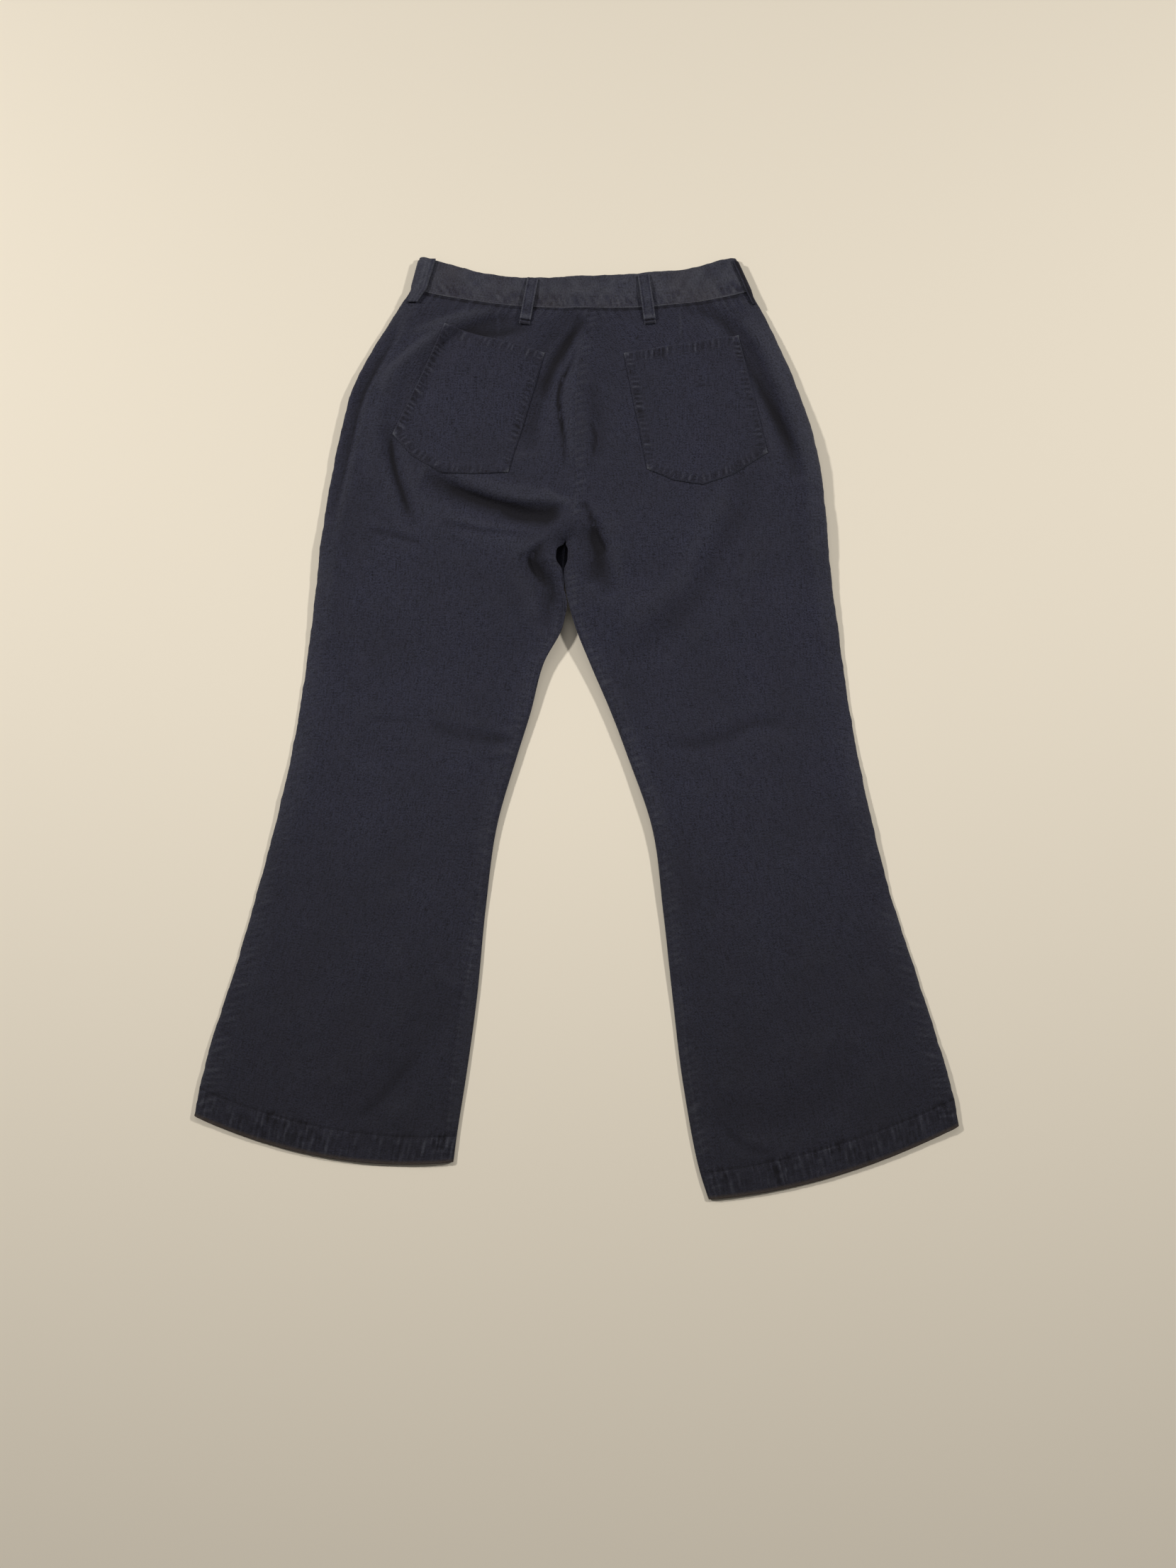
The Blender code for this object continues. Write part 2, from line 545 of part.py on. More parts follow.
def add_side_loop(name, loop):
    """A belt loop that lies over the side fold, made from the fold's own section, moved out."""
    y = np.linspace(loop.top_y, loop.bottom_y, LOOP_STATIONS + 1)[:, None]
    edge = side_edge(loop.side, y)
    leg = LEFT_LEG if loop.side < 0 else RIGHT_LEG
    level = leg[0].outer_height + EDGE_PUFF + BAND_PROUD
    reach = np.linspace(loop.top_reach, loop.bottom_reach, LOOP_STATIONS + 1)[:, None]
    turn = SIDE_LOOP_TURN
    rounded = np.minimum(BACK_ROLL, SIDE_LOOP_ROUNDED * reach)
    roll = np.where(turn >= 0, rounded, FRONT_ROLL)
    rise = np.where(turn >= 0, level - SEAM_HEIGHT, SEAM_HEIGHT)
    inset = roll * (1 - np.cos(turn)) + SIDE_LOOP_INWARD * (reach - rounded)
    x = edge - loop.side * inset
    z = SEAM_HEIGHT + rise * np.sin(turn) + np.zeros_like(x)
    outward = np.stack([loop.side * np.cos(turn), np.zeros_like(turn), np.sin(turn)], -1)
    surface = np.stack([x, y + np.zeros_like(x), z], -1)
    outer = surface + outward * (GAP + LOOP_WALL)
    outer[..., 2] = np.maximum(outer[..., 2], SIDE_LOOP_LOWEST)
    add_solid(name, *grid_mesh(outer, surface + outward * GAP))


def add_fly_facing(fronts):
    """A strip behind the fly, with its foot curved in to the seam, on the inside of the front."""
    share = np.linspace(0, 1, FLY_ROWS * FINE_STEPS + 1)[:, None]
    across = np.linspace(0, 1, FLY_COLUMNS * FINE_STEPS + 1)
    curved = np.clip((share - FLY_CURVE_FROM) / FLY_CURVE_LONG, 0, 0.93)
    width = FLY_WIDTH * np.sqrt(1 - curved**2)
    y = FLY_TOP + (FLY_FOOT - FLY_TOP) * share
    spot = np.stack([FLY_LEFT + width * across, y + 0 * across], -1)
    add_patch("fly_facing", spot, fronts, WALL)


def add_button():
    """A round button with a bevelled rim: two flat faces, and rings of points between them."""
    bevel = BUTTON_THICKNESS * 0.3
    profile = [(BUTTON_RADIUS - bevel, 0), (BUTTON_RADIUS, bevel)]
    profile += [(BUTTON_RADIUS, BUTTON_THICKNESS - bevel), (BUTTON_RADIUS - bevel, BUTTON_THICKNESS)]
    turn = 2 * np.pi * np.arange(BUTTON_SIDES) / BUTTON_SIDES
    ring = np.stack([np.cos(turn), np.sin(turn)], -1)
    points = [np.column_stack([radius * ring, np.full(BUTTON_SIDES, height)]) for radius, height in profile]
    points = (np.concatenate(points) + [BUTTON_X, BUTTON_Y, 0]) * MM
    index = np.arange(len(points)).reshape(len(profile), BUTTON_SIDES)
    after = np.roll(index, -1, axis=1)
    rim = np.stack([index[:-1], after[:-1], after[1:], index[1:]], -1).reshape(-1, 4)
    faces = rim.tolist() + [index[0, ::-1].tolist(), index[-1].tolist()]
    add_solid("waist_button", points.tolist(), faces, BUTTON_METAL)


def main():
    for thing in list(bpy.data.objects):
        bpy.data.objects.remove(thing)
    backs, fronts = add_panels()
    band = add_waistband()
    add_pocket("pocket_left", LEFT_POCKET, backs[0])
    add_pocket("pocket_right", RIGHT_POCKET, backs[1])
    for name, loop in BACK_LOOPS.items():
        add_back_loop(name, loop, [band, *backs])
    for name, loop in SIDE_LOOPS.items():
        add_side_loop(name, loop)
    add_fly_facing(fronts)
    add_button()


main()
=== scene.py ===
"""Flared jeans of faded navy denim, laid flat with their back side up.

Each piece of cloth is a thin closed shell on its solid's own form, with the finer shape that sewing and
washing give it: puckered seams, felled seams, roped hems, creases and stitches. Lengths are millimetres
until a mesh is made, which is in metres. +X points right, +Y from the hems to the waist and +Z up.
"""

from collections import namedtuple

import bpy
import numpy as np
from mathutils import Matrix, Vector


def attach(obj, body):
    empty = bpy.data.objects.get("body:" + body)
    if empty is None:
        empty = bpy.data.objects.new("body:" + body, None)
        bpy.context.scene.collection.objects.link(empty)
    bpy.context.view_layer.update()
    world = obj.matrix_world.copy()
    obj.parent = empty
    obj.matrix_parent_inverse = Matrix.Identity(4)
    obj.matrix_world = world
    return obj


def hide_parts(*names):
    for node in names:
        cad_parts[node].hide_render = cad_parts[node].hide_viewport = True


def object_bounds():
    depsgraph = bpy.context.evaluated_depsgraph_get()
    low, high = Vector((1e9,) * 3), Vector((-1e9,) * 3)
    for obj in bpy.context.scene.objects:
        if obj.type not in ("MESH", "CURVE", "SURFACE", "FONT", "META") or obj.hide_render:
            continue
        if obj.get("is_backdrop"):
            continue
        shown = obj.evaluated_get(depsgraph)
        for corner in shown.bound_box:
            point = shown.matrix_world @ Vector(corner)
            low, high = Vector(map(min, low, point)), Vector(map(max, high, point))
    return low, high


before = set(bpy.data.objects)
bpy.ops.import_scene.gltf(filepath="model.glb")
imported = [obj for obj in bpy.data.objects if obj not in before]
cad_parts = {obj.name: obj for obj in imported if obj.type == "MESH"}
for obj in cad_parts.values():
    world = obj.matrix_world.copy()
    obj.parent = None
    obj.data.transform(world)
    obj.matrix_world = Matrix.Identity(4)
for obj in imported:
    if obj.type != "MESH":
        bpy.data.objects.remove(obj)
CAD_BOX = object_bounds()

MM = 0.001

# The solids' own form, repeated from the part's source
WALL, BAND_WALL, HEM_WALL, POCKET_WALL, LOOP_WALL = 1.3, 1.8, 1.7, 1.3, 1.6
GAP = 0.3
SEAM_HEIGHT = 3.5
BACK_ROLL, FRONT_ROLL = 9.0, 6.0
EDGE_PUFF, EDGE_PUFF_WIDTH = 1.6, 14.0
LEAST_HEIGHT, LEAST_HEM_HEIGHT = 3.05, 3.7
BAND_PROUD, HEM_PROUD, FRONT_DIP, DIP_FADE = 0.5, 0.5, 9.0, 120.0
OUTER_END, INNER_END = 0.54, 0.46
RISE_FROM, RISE_TO = 0.59, 0.55
BUTTON_X, BUTTON_Y, BUTTON_RADIUS, BUTTON_THICKNESS = 4.0, 493.0, 8.5, 2.0
BUTTON_LIFT, LIFT_WIDTH = 3.0, 40.0
PATCH_CLEARANCE = 0.5
LOOP_ARCH = 1.2

Section = namedtuple("Section", "outer_x outer_y inner_x inner_y bow outer_height inner_height roll")
FORK = 6
# Down both legs alike: the height at the side fold and at the inner edge, and the inner edge's roll
SECTION_FORM = [
    (7.0, 9.4, 18), (7.5, 10.0, 18), (8.0, 12.5, 20), (8.5, 15.5, 22), (8.5, 19.0, 26), (8.5, 21.0, 30),
    (8.5, 20.0, 32), (8.0, 15.0, 30), (8.0, 11.5, 20), (7.5, 9.0, 13), (7.2, 8.0, 11), (7.0, 7.4, 11),
    (6.6, 7.0, 11), (6.6, 6.8, 11), (6.6, 6.8, 11), (6.8, 6.8, 10), (7.2, 7.2, 9), (7.6, 7.6, 9),
]
# Each leg from the waist seam to the hem: the side fold's x and y, the inner edge's x and y, and the bow
LEFT_PLACES = [
    (-197, 507, 14.0, 482, -6.25), (-225, 462, 7.5, 446, -6), (-261, 394, -1.0, 385, -2),
    (-280, 319, -2.2, 315, 0), (-291, 257, -2.3, 255, 0), (-296, 222, -5.7, 222, 0),
    (-299, 198, -14.0, 200, 0), (-303, 150, -14.8, 150, 0), (-308, 102, -16.0, 102, 0),
    (-313, 58, -37.5, 60, 0), (-320, 5, -53.0, 2, 0), (-328, -45, -69.0, -50, 0),
    (-343, -118, -91.0, -128, 0), (-363.5, -200, -103.5, -222, -1), (-388, -292, -113.0, -325, -4),
    (-413, -374, -124.5, -412, -10), (-424.5, -425, -134.5, -478, -18), (-430, -455, -138.0, -506, -20),
]
RIGHT_PLACES = [
    (207, 504, 14.0, 482, -5.5), (228, 462, 7.5, 446, -5), (257, 394, -1.0, 385, -2),
    (280, 319, -2.2, 315, 0), (289, 257, -2.3, 255, 0), (291.5, 222, -5.7, 222, 0),
    (293, 198, -14.0, 200, 0), (297, 150, -13.6, 150, 0), (303, 102, -2.0, 102, 0),
    (308, 58, 15.5, 58, 0), (315, 5, 39.5, 2, 0), (323, -45, 59.0, -50, 0),
    (337, -118, 86.0, -130, 0), (357, -203, 98.5, -226, -1), (383.5, -290, 109.0, -325, -4),
    (409.5, -376, 121.0, -425, -8), (425, -437, 139.0, -519, -13), (430, -466, 148.0, -547, -15),
]
LEFT_SECTIONS = [Section(*place, *form) for place, form in zip(LEFT_PLACES, SECTION_FORM)]
RIGHT_SECTIONS = [Section(*place, *form) for place, form in zip(RIGHT_PLACES, SECTION_FORM)]

# A fold's height is negative for a trough. Its widths are those on the left and on the right of its path.
Fold = namedtuple("Fold", "height left_width right_width path")
FOLDS = [
    Fold(-5.5, 13, 24, [(8, 474), (-16, 442), (-33, 416), (-43, 381), (-52, 343), (-55, 305)]),
    Fold(3.0, 26, 10, [(9, 452), (-1, 410), (-8, 370), (-9, 326), (-6, 288)]),
    Fold(2.6, 12, 16, [(-182, 300), (-128, 275), (-78, 261), (-20, 256)]),
    Fold(-7.0, 10, 20, [(-178, 285), (-136, 262), (-94, 245), (-53, 233), (-16, 234)]),
    Fold(-2.5, 9, 9, [(-222, 343), (-215, 300), (-202, 258), (-188, 220)]),
    Fold(-1.6, 9, 9, [(-209, 476), (-246, 412), (-268, 351), (-279, 300), (-288, 241), (-294, 182)]),
    Fold(3.0, 14, 14, [(-92, 484), (-138, 463), (-183, 437), (-212, 403), (-233, 360), (-244, 262)]),
    Fold(-3.5, 14, 14, [(-62, 472), (-104, 466), (-142, 448), (-171, 407), (-182, 360)]),
    Fold(-4.0, 12, 11, [(118, 488), (169, 476), (198, 442), (221, 390), (242, 334), (262, 275)]),
    Fold(2.5, 11, 11, [(156, 494), (206, 455), (231, 403), (255, 343), (273, 268)]),
    Fold(-1.8, 13, 12, [(16, 390), (26, 343), (22, 295)]),
    Fold(-5.0, 13, 13, [(-62, 190), (-45, 165), (-30, 131), (-28, 95)]),
    Fold(-3.0, 10, 12, [(18, 232), (30, 182), (37, 135)]),
    Fold(-2.6, 22, 20, [(203, 290), (192, 241), (158, 182), (141, 140), (100, 98), (55, 62)]),
    Fold(2.0, 20, 22, [(179, 270), (154, 224), (125, 165), (88, 131), (42, 96)]),
    Fold(-1.6, 9, 9, [(-175, -10), (-125, -25), (-60, -32)]),
    Fold(-1.4, 10, 10, [(95, -34), (160, -30), (201, -11), (246, -10)]),
    Fold(-2.4, 18, 22, [(-135, -310), (-168, -355), (-202, -406), (-234, -436), (-270, -470)]),
    Fold(-2.2, 20, 20, [(150, -452), (198, -452), (237, -448), (277, -428), (316, -375)]),
]
FOLD_STEPS = 24
FOLD_GAIN = 1.15

# Creases that are too fine for the solids: pressed lines and the sharp floors of the larger folds
CREASES = [
    Fold(-2.8, 1.8, 3.0, [(1, 438), (-8, 412), (-18, 391), (-21, 372), (-18, 346), (-14, 319), (-13, 285)]),
    Fold(-1.8, 7, 8, [(12, 478), (-5, 454), (-20, 428), (-33, 401), (-40, 372)]),
    Fold(1.6, 6, 6, [(1, 470), (-17, 449), (-34, 425), (-44, 399)]),
    Fold(-1.0, 2.0, 2.5, [(17, 346), (22, 325), (19, 300)]),
    Fold(-3.2, 3.5, 14, [(-208, 469), (-220, 440), (-237, 408), (-253, 371), (-262, 331),
                         (-270, 295), (-277, 261), (-285, 224)]),
    Fold(1.8, 7, 6, [(-233, 379), (-218, 408), (-197, 428), (-175, 445), (-151, 462)]),
    Fold(-1.6, 3, 4, [(-218, 329), (-216, 305), (-211, 281), (-203, 258), (-194, 232)]),
    Fold(-1.6, 4, 6, [(-184, 368), (-174, 392), (-164, 418), (-149, 445), (-133, 458)]),
    Fold(0.9, 2, 2, [(-3, 291), (4, 290), (12, 290)]),
    Fold(-1.4, 3.6, 7, [(-152, 269), (-118, 257.5), (-98, 250.5), (-60, 243), (-35, 242.5), (-4, 236)]),
    Fold(-1.8, 9, 11, [(-90, 240), (-56, 232), (-30, 230), (-4, 233)]),
    Fold(0.8, 6, 4, [(-140, 271), (-98, 257.5), (-60, 250.5), (-35, 250.5), (-8, 245)]),
    Fold(1.2, 3, 4, [(-42, 262), (-28, 255.5), (-16, 249), (-6, 246)]),
    Fold(-3.8, 13, 2.2, [(-36, 203), (-43, 196), (-54.5, 179), (-47, 164.5), (-33, 148), (-29.5, 124)]),
    Fold(-2.4, 2.2, 9, [(9, 250), (14, 238), (18.6, 224), (23.7, 208.5), (30, 197), (35, 186)]),
    Fold(1.2, 3.5, 3.5, [(8, 240), (13, 224), (18, 208)]),
    Fold(-2.4, 12, 12, [(10, 218), (22, 185), (16, 148)]),
    Fold(-2.6, 7, 9, [(-50, 464), (-80, 455), (-108, 452), (-135, 449),
                       (-155, 430), (-168, 407), (-190, 350)]),
    Fold(-1.5, 4.5, 8, [(140, 483), (178, 462), (188, 443), (199, 421), (215, 389),
                         (230, 362), (247, 330), (261, 297)]),
    Fold(2.2, 15, 10, [(196, 470), (229, 431), (247, 390), (264, 349), (274, 309), (281, 262)]),
    Fold(1.8, 6, 7, [(-200, 451), (-164, 466), (-128, 476), (-94, 481)]),
    Fold(-1.0, 5, 9, [(-174, 444), (-135, 459), (-103, 469), (-74, 474)]),
    Fold(0.6, 1.4, 1.4, [(131.5, 412), (133.4, 379), (135, 346)]),
    Fold(0.6, 1.4, 1.4, [(-114, 422), (-118, 405), (-123, 386)]),
    Fold(-1.0, 4, 4, [(-247, 217), (-210, 209), (-177, 198)]),
    Fold(-1.2, 3, 5, [(-160, 226), (-137, 221), (-116, 216), (-73, 211), (-47, 208)]),
    Fold(-0.7, 5, 5, [(-170, -11), (-125, -25), (-64, -31)]),
    Fold(-0.7, 4, 4, [(-89, -8), (-60, -13)]),
    Fold(-0.7, 4, 4, [(-105, -55), (-75, -49)]),
    Fold(-0.7, 4, 4, [(-248, -6), (-183, -8)]),
    Fold(-1.0, 5, 5, [(103, -34), (160, -30), (201, -11), (242, -10)]),
    Fold(-1.6, 4, 9, [(-176, -385), (-198, -410), (-219, -434), (-243, -456)]),
    Fold(-0.9, 5, 5, [(157, -461), (196, -491), (222, -497)]),
    Fold(0.8, 1.6, 1.6, [(-95, 484), (-93, 470), (-92.5, 452)]),
    Fold(0.8, 1.6, 1.6, [(121, 487), (122, 468), (122.5, 446)]),
]

# Patch pockets: the opening's ends, then points along the rounded foot, both from left to right. A seed sets
# how a piece's puckers and mottling wander.
Pocket = namedtuple("Pocket", "seed opening foot")
POCKETS = {
    "left": Pocket(101, [(-156, 464), (-38, 430)],
                   [(-216, 331), (-192, 304), (-157, 283), (-120, 281), (-80, 283)]),
    "right": Pocket(111, [(55, 428), (191, 452)],
                    [(82, 287), (112, 274), (147, 269), (181, 281), (223, 308)]),
}

BackLoop = namedtuple("BackLoop", "seed top bottom width")
BACK_LOOPS = {
    "belt_loop_back_left": BackLoop(131, (-52, 519.5), (-62, 463.5), 13),
    "belt_loop_back_right": BackLoop(132, (78.5, 523.5), (86.5, 463.5), 14),
}
SideLoop = namedtuple("SideLoop", "seed side top_y bottom_y top_reach bottom_reach")
SIDE_LOOPS = {
    "belt_loop_side_left": SideLoop(141, -1, 543.0, 490.0, 21.0, 19.0),
    "belt_loop_side_right": SideLoop(142, 1, 541.0, 487.0, 7.0, 8.0),
}
BAND_TOP_X = np.array([-187, -169, -141, -107, -66, 1, 87, 144, 166, 189], float)
BAND_TOP_Y = np.array([547, 543, 535, 526, 521.5, 521.5, 528, 535.5, 542, 545.5], float)
FLY_TOP, FLY_FOOT, FLY_WIDTH, FLY_LEFT = 470.0, 305.0, 38.0, 6.0

# How much the cloth stands up at its edges, by the distance down the leg: more at the hips and at the knees,
# least at the shins
LIFT_ROWS = [0, 70, 125, 180, 230, 285, 340, 390, 445, 500, 555, 610, 665, 720, 780, 835, 890, 925, 1060]
OUTER_LIFT = {
    "left": [3, 3.5, 7, 6.3, 5, 4.2, 3.5, 2, 0.4, 0, 0.3, 2.6, 1.2, -0.4, -0.4, -0.4, 0, 1.6, 0.8],
    "right": [3, 3, 3, 5, 6, 6.6, 3.5, 2, 1, 0.2, 1, 3.3, 3.3, 0, 0, 0.3, 0.8, 2.4, 1.2],
}
INNER_LIFT = {
    "left": [3, 3, 3, 3, 3, 3, 4, 5, 7, 5.5, 5, 4, 2.6, 0, 0, -0.3, -0.2, 0, 0.6],
    "right": [3, 3, 3, 3, 3, 3, 4, 6, 7, 7.5, 6.5, 7.5, 6, 3.5, 2.5, 0.3, 0, 0, 0.6],
}
LEG_HEIGHT, LEG_EDGE, LIFT_SPREAD = 4.1, 2.2, 26.0

# Seams and stitching
TOUCH = 0.04
HEM_PITCH, HEM_FINE_PITCH = 7.0, 4.6
BAND_PITCH, BAND_FINE_PITCH = 9.0, 5.0
POCKET_PITCH, POCKET_FINE_PITCH = 6.6, 4.0
SIDE_PITCH, INSEAM_PITCH, RISE_PITCH, WAIST_PITCH = 9.0, 8.0, 9.0, 12.0
THREAD_WIDE, THREAD_HIGH = 0.5, 0.25
STITCH_PITCH, STITCH_LONG, STITCH_ABOVE = 3.4, 2.5, 0.08
HEM_DEPTH = 28.0
BAND_TALL, BAND_REST = 36.0, 30.0
FELL_WIDE, FELL_PROUD = 10.0, 0.4
# How far the lines of stitches lie from the hem's, the band's and the pockets' edges, and from the fell's
HEM_STITCH, BAND_STITCH, POCKET_STITCH, OPENING_STITCH = 1.6, 2.2, 2.0, 13.5
FELL_STITCH, FELL_FAR_STITCH = 1.9, FELL_WIDE - 1.6

# Where each piece of cloth lies on the weave, so that no two pieces show the same pattern
WEAVE_AT = dict(panel=1000, waistband=3000, pocket=5000, back_loop=7000, side_loop=9000, fly=11000)

# The room: lamps by name, each with its place, the point that it is aimed at, its power and its two sides
LAMPS = {
    "left_lamp": ((-2.6, 1.1, 1.95), (0, -0.05, 0), 22.3, 0.22, 0.22),
    "right_lamp": ((2.6, 1.0, 1.95), (0, -0.05, 0), 18.5, 0.22, 0.22),
    "window": ((-0.3, 2.2, 2.2), (0, -0.3, 0), 13.0, 2.4, 1.2),
}
LAMP_COLOUR, LAMP_SPREAD = (1.0, 0.93, 0.865), np.radians(100)
ROOM_COLOUR, ROOM_LIGHT = (1.0, 0.93, 0.86, 1), 0.13
FLOOR_REACH = 6.0
CAMERA_PLACE, CAMERA_TILT, CAMERA_LENS, CAMERA_SENSOR = (0.013, -0.216, 1.554), np.radians(5.0), 31.12, 36.0


def smooth(at, values, query):
    """Cubic curve through the values, with each slope taken from its neighbours."""
    slope = np.gradient(values, at)
    k = np.clip(np.searchsorted(at, query, side="right") - 1, 0, len(at) - 2)
    step = at[k + 1] - at[k]
    t = (query - at[k]) / step
    start = (1 + 2 * t) * (1 - t) ** 2 * values[k] + t * (1 - t) ** 2 * step * slope[k]
    end = t**2 * (3 - 2 * t) * values[k + 1] + t**2 * (t - 1) * step * slope[k + 1]
    return start + end


def ramp(value, start, end):
    """A soft step: 0 before start, 1 after end, by 3t^2 - 2t^3 between them."""
    t = np.clip((value - start) / (end - start), 0, 1)
    return t * t * (3 - 2 * t)


def bell(distance, width):
    """A soft bump: e to the power of minus the squared share of the width."""
    return np.exp(-((distance / width) ** 2))


def roll_over(distance, radius):
    """A quarter ellipse: 0 at the edge, 1 from the radius on."""
    share = np.clip(distance / radius, 0, 1)
    return np.sqrt(1 - (1 - share) ** 2)


def waver(at, length, seed):
    """A wandering value from -1 to 1 along a line: three sine waves of unlike lengths, added."""
    starts = np.random.default_rng(seed).uniform(0, 2 * np.pi, 3)
    parts = zip((1.0, 0.6, 0.4), (1.0, 1.73, 2.61), starts)
    return sum(part * np.sin(2 * np.pi * at * rate / length + start) for part, rate, start in parts) / 2


def hills(x, y, size, seed):
    """Soft hills of about one size, from -1 to 1: a lattice of random heights, joined by soft steps."""
    lattice = np.random.default_rng(seed).uniform(-1, 1, (61, 61))
    u, v = x / size + 500, y / size + 500
    i, j = np.floor(u).astype(int), np.floor(v).astype(int)
    s, t = ramp(u - i, 0, 1), ramp(v - j, 0, 1)
    near = lattice[i % 61, j % 61] * (1 - s) + lattice[(i + 1) % 61, j % 61] * s
    far = lattice[i % 61, (j + 1) % 61] * (1 - s) + lattice[(i + 1) % 61, (j + 1) % 61] * s
    return near * (1 - t) + far * t


def pucker(along, across, seed, pitch, slant=0.0):
    """Ripples across a seam, 0 in a hollow and up to 1 on a crown, uneven in pitch and in height."""
    phase = 2 * np.pi * (along + slant * across) / pitch + 2.4 * waver(along, 6.3 * pitch, seed)
    crown = (0.5 + 0.5 * np.cos(phase)) ** 1.3
    return crown * (0.62 + 0.38 * waver(along, 3.9 * pitch, seed + 1))


def lengths_along(points):
    """How far along a line each of its points lies."""
    return np.r_[0, np.cumsum(np.linalg.norm(np.diff(points, axis=0), axis=-1))]


def to_segments(start, run, x, y):
    """Distance to each straight segment, side of it and share of the way along it, in the last axis."""
    offset_x, offset_y = x[..., None] - start[:, 0], y[..., None] - start[:, 1]
    share = np.clip((offset_x * run[:, 0] + offset_y * run[:, 1]) / (run**2).sum(1), 0, 1)
    distance = np.hypot(offset_x - share * run[:, 0], offset_y - share * run[:, 1])
    return distance, run[:, 0] * offset_y - run[:, 1] * offset_x, share


def pick(values, index):
    """The value at each point's own index in the last axis."""
    return np.take_along_axis(values, index[..., None], -1)[..., 0]


def along_path(path, x, y):
    """Each point's distance from a smooth curve through the path, its side of it and its share of the way."""
    points = np.array(path, float)
    at = lengths_along(points)
    query = np.linspace(0, at[-1], FOLD_STEPS)
    line = np.stack([smooth(at, points[:, 0], query), smooth(at, points[:, 1], query)], axis=1)
    run = np.diff(line, axis=0)
    distance, side, share = to_segments(line[:-1], run, x, y)
    nearest = distance.argmin(-1)
    return pick(distance, nearest), pick(side, nearest), (nearest + pick(share, nearest)) / len(run)


def fold_height(fold, x, y):
    """Height of one fold: a bell across its path, unequal on its two sides, fading to its ends."""
    path, reach = np.array(fold.path, float), 2.6 * max(fold.left_width, fold.right_width)
    low, high = path.min(0) - reach, path.max(0) + reach
    near = (x > low[0]) & (x < high[0]) & (y > low[1]) & (y < high[1])
    distance, side, along = along_path(fold.path, x[near], y[near])
    width = np.where(side > 0, fold.left_width, fold.right_width)
    height = np.zeros(x.shape)
    height[near] = fold.height * (1 - (2 * along - 1) ** 4) * bell(distance, width)
    return height


def folds_at(x, y, folds=FOLDS, gain=FOLD_GAIN):
    """The height of all the folds together."""
    return gain * sum(fold_height(fold, x, y) for fold in folds)


def lift_at(x, y):
    """How far the waist button lifts the layers that lie over it."""
    return BUTTON_LIFT * bell(np.hypot(x - BUTTON_X, y - BUTTON_Y), LIFT_WIDTH)


def width_of(now):
    """A section's width from the side fold to the inner edge."""
    return np.hypot(now.inner_x - now.outer_x, now.inner_y - now.outer_y)


def y_across(now, share):
    """The y at a share of the way across a section: a straight line and its bow."""
    return now.outer_y + (now.inner_y - now.outer_y) * share + 4 * now.bow * share * (1 - share)


def seat_height(now, share, from_outer):
    """The seat's height across a section: a parabola from the side fold, puffed up beside it."""
    height = now.outer_height + (now.inner_height - now.outer_height) * share**2
    return height + EDGE_PUFF * bell(from_outer - BACK_ROLL, EDGE_PUFF_WIDTH)


Spot = namedtuple("Spot", "x y row share from_outer lateral from_inner now")
Relief = namedtuple("Relief", "height wear grime")


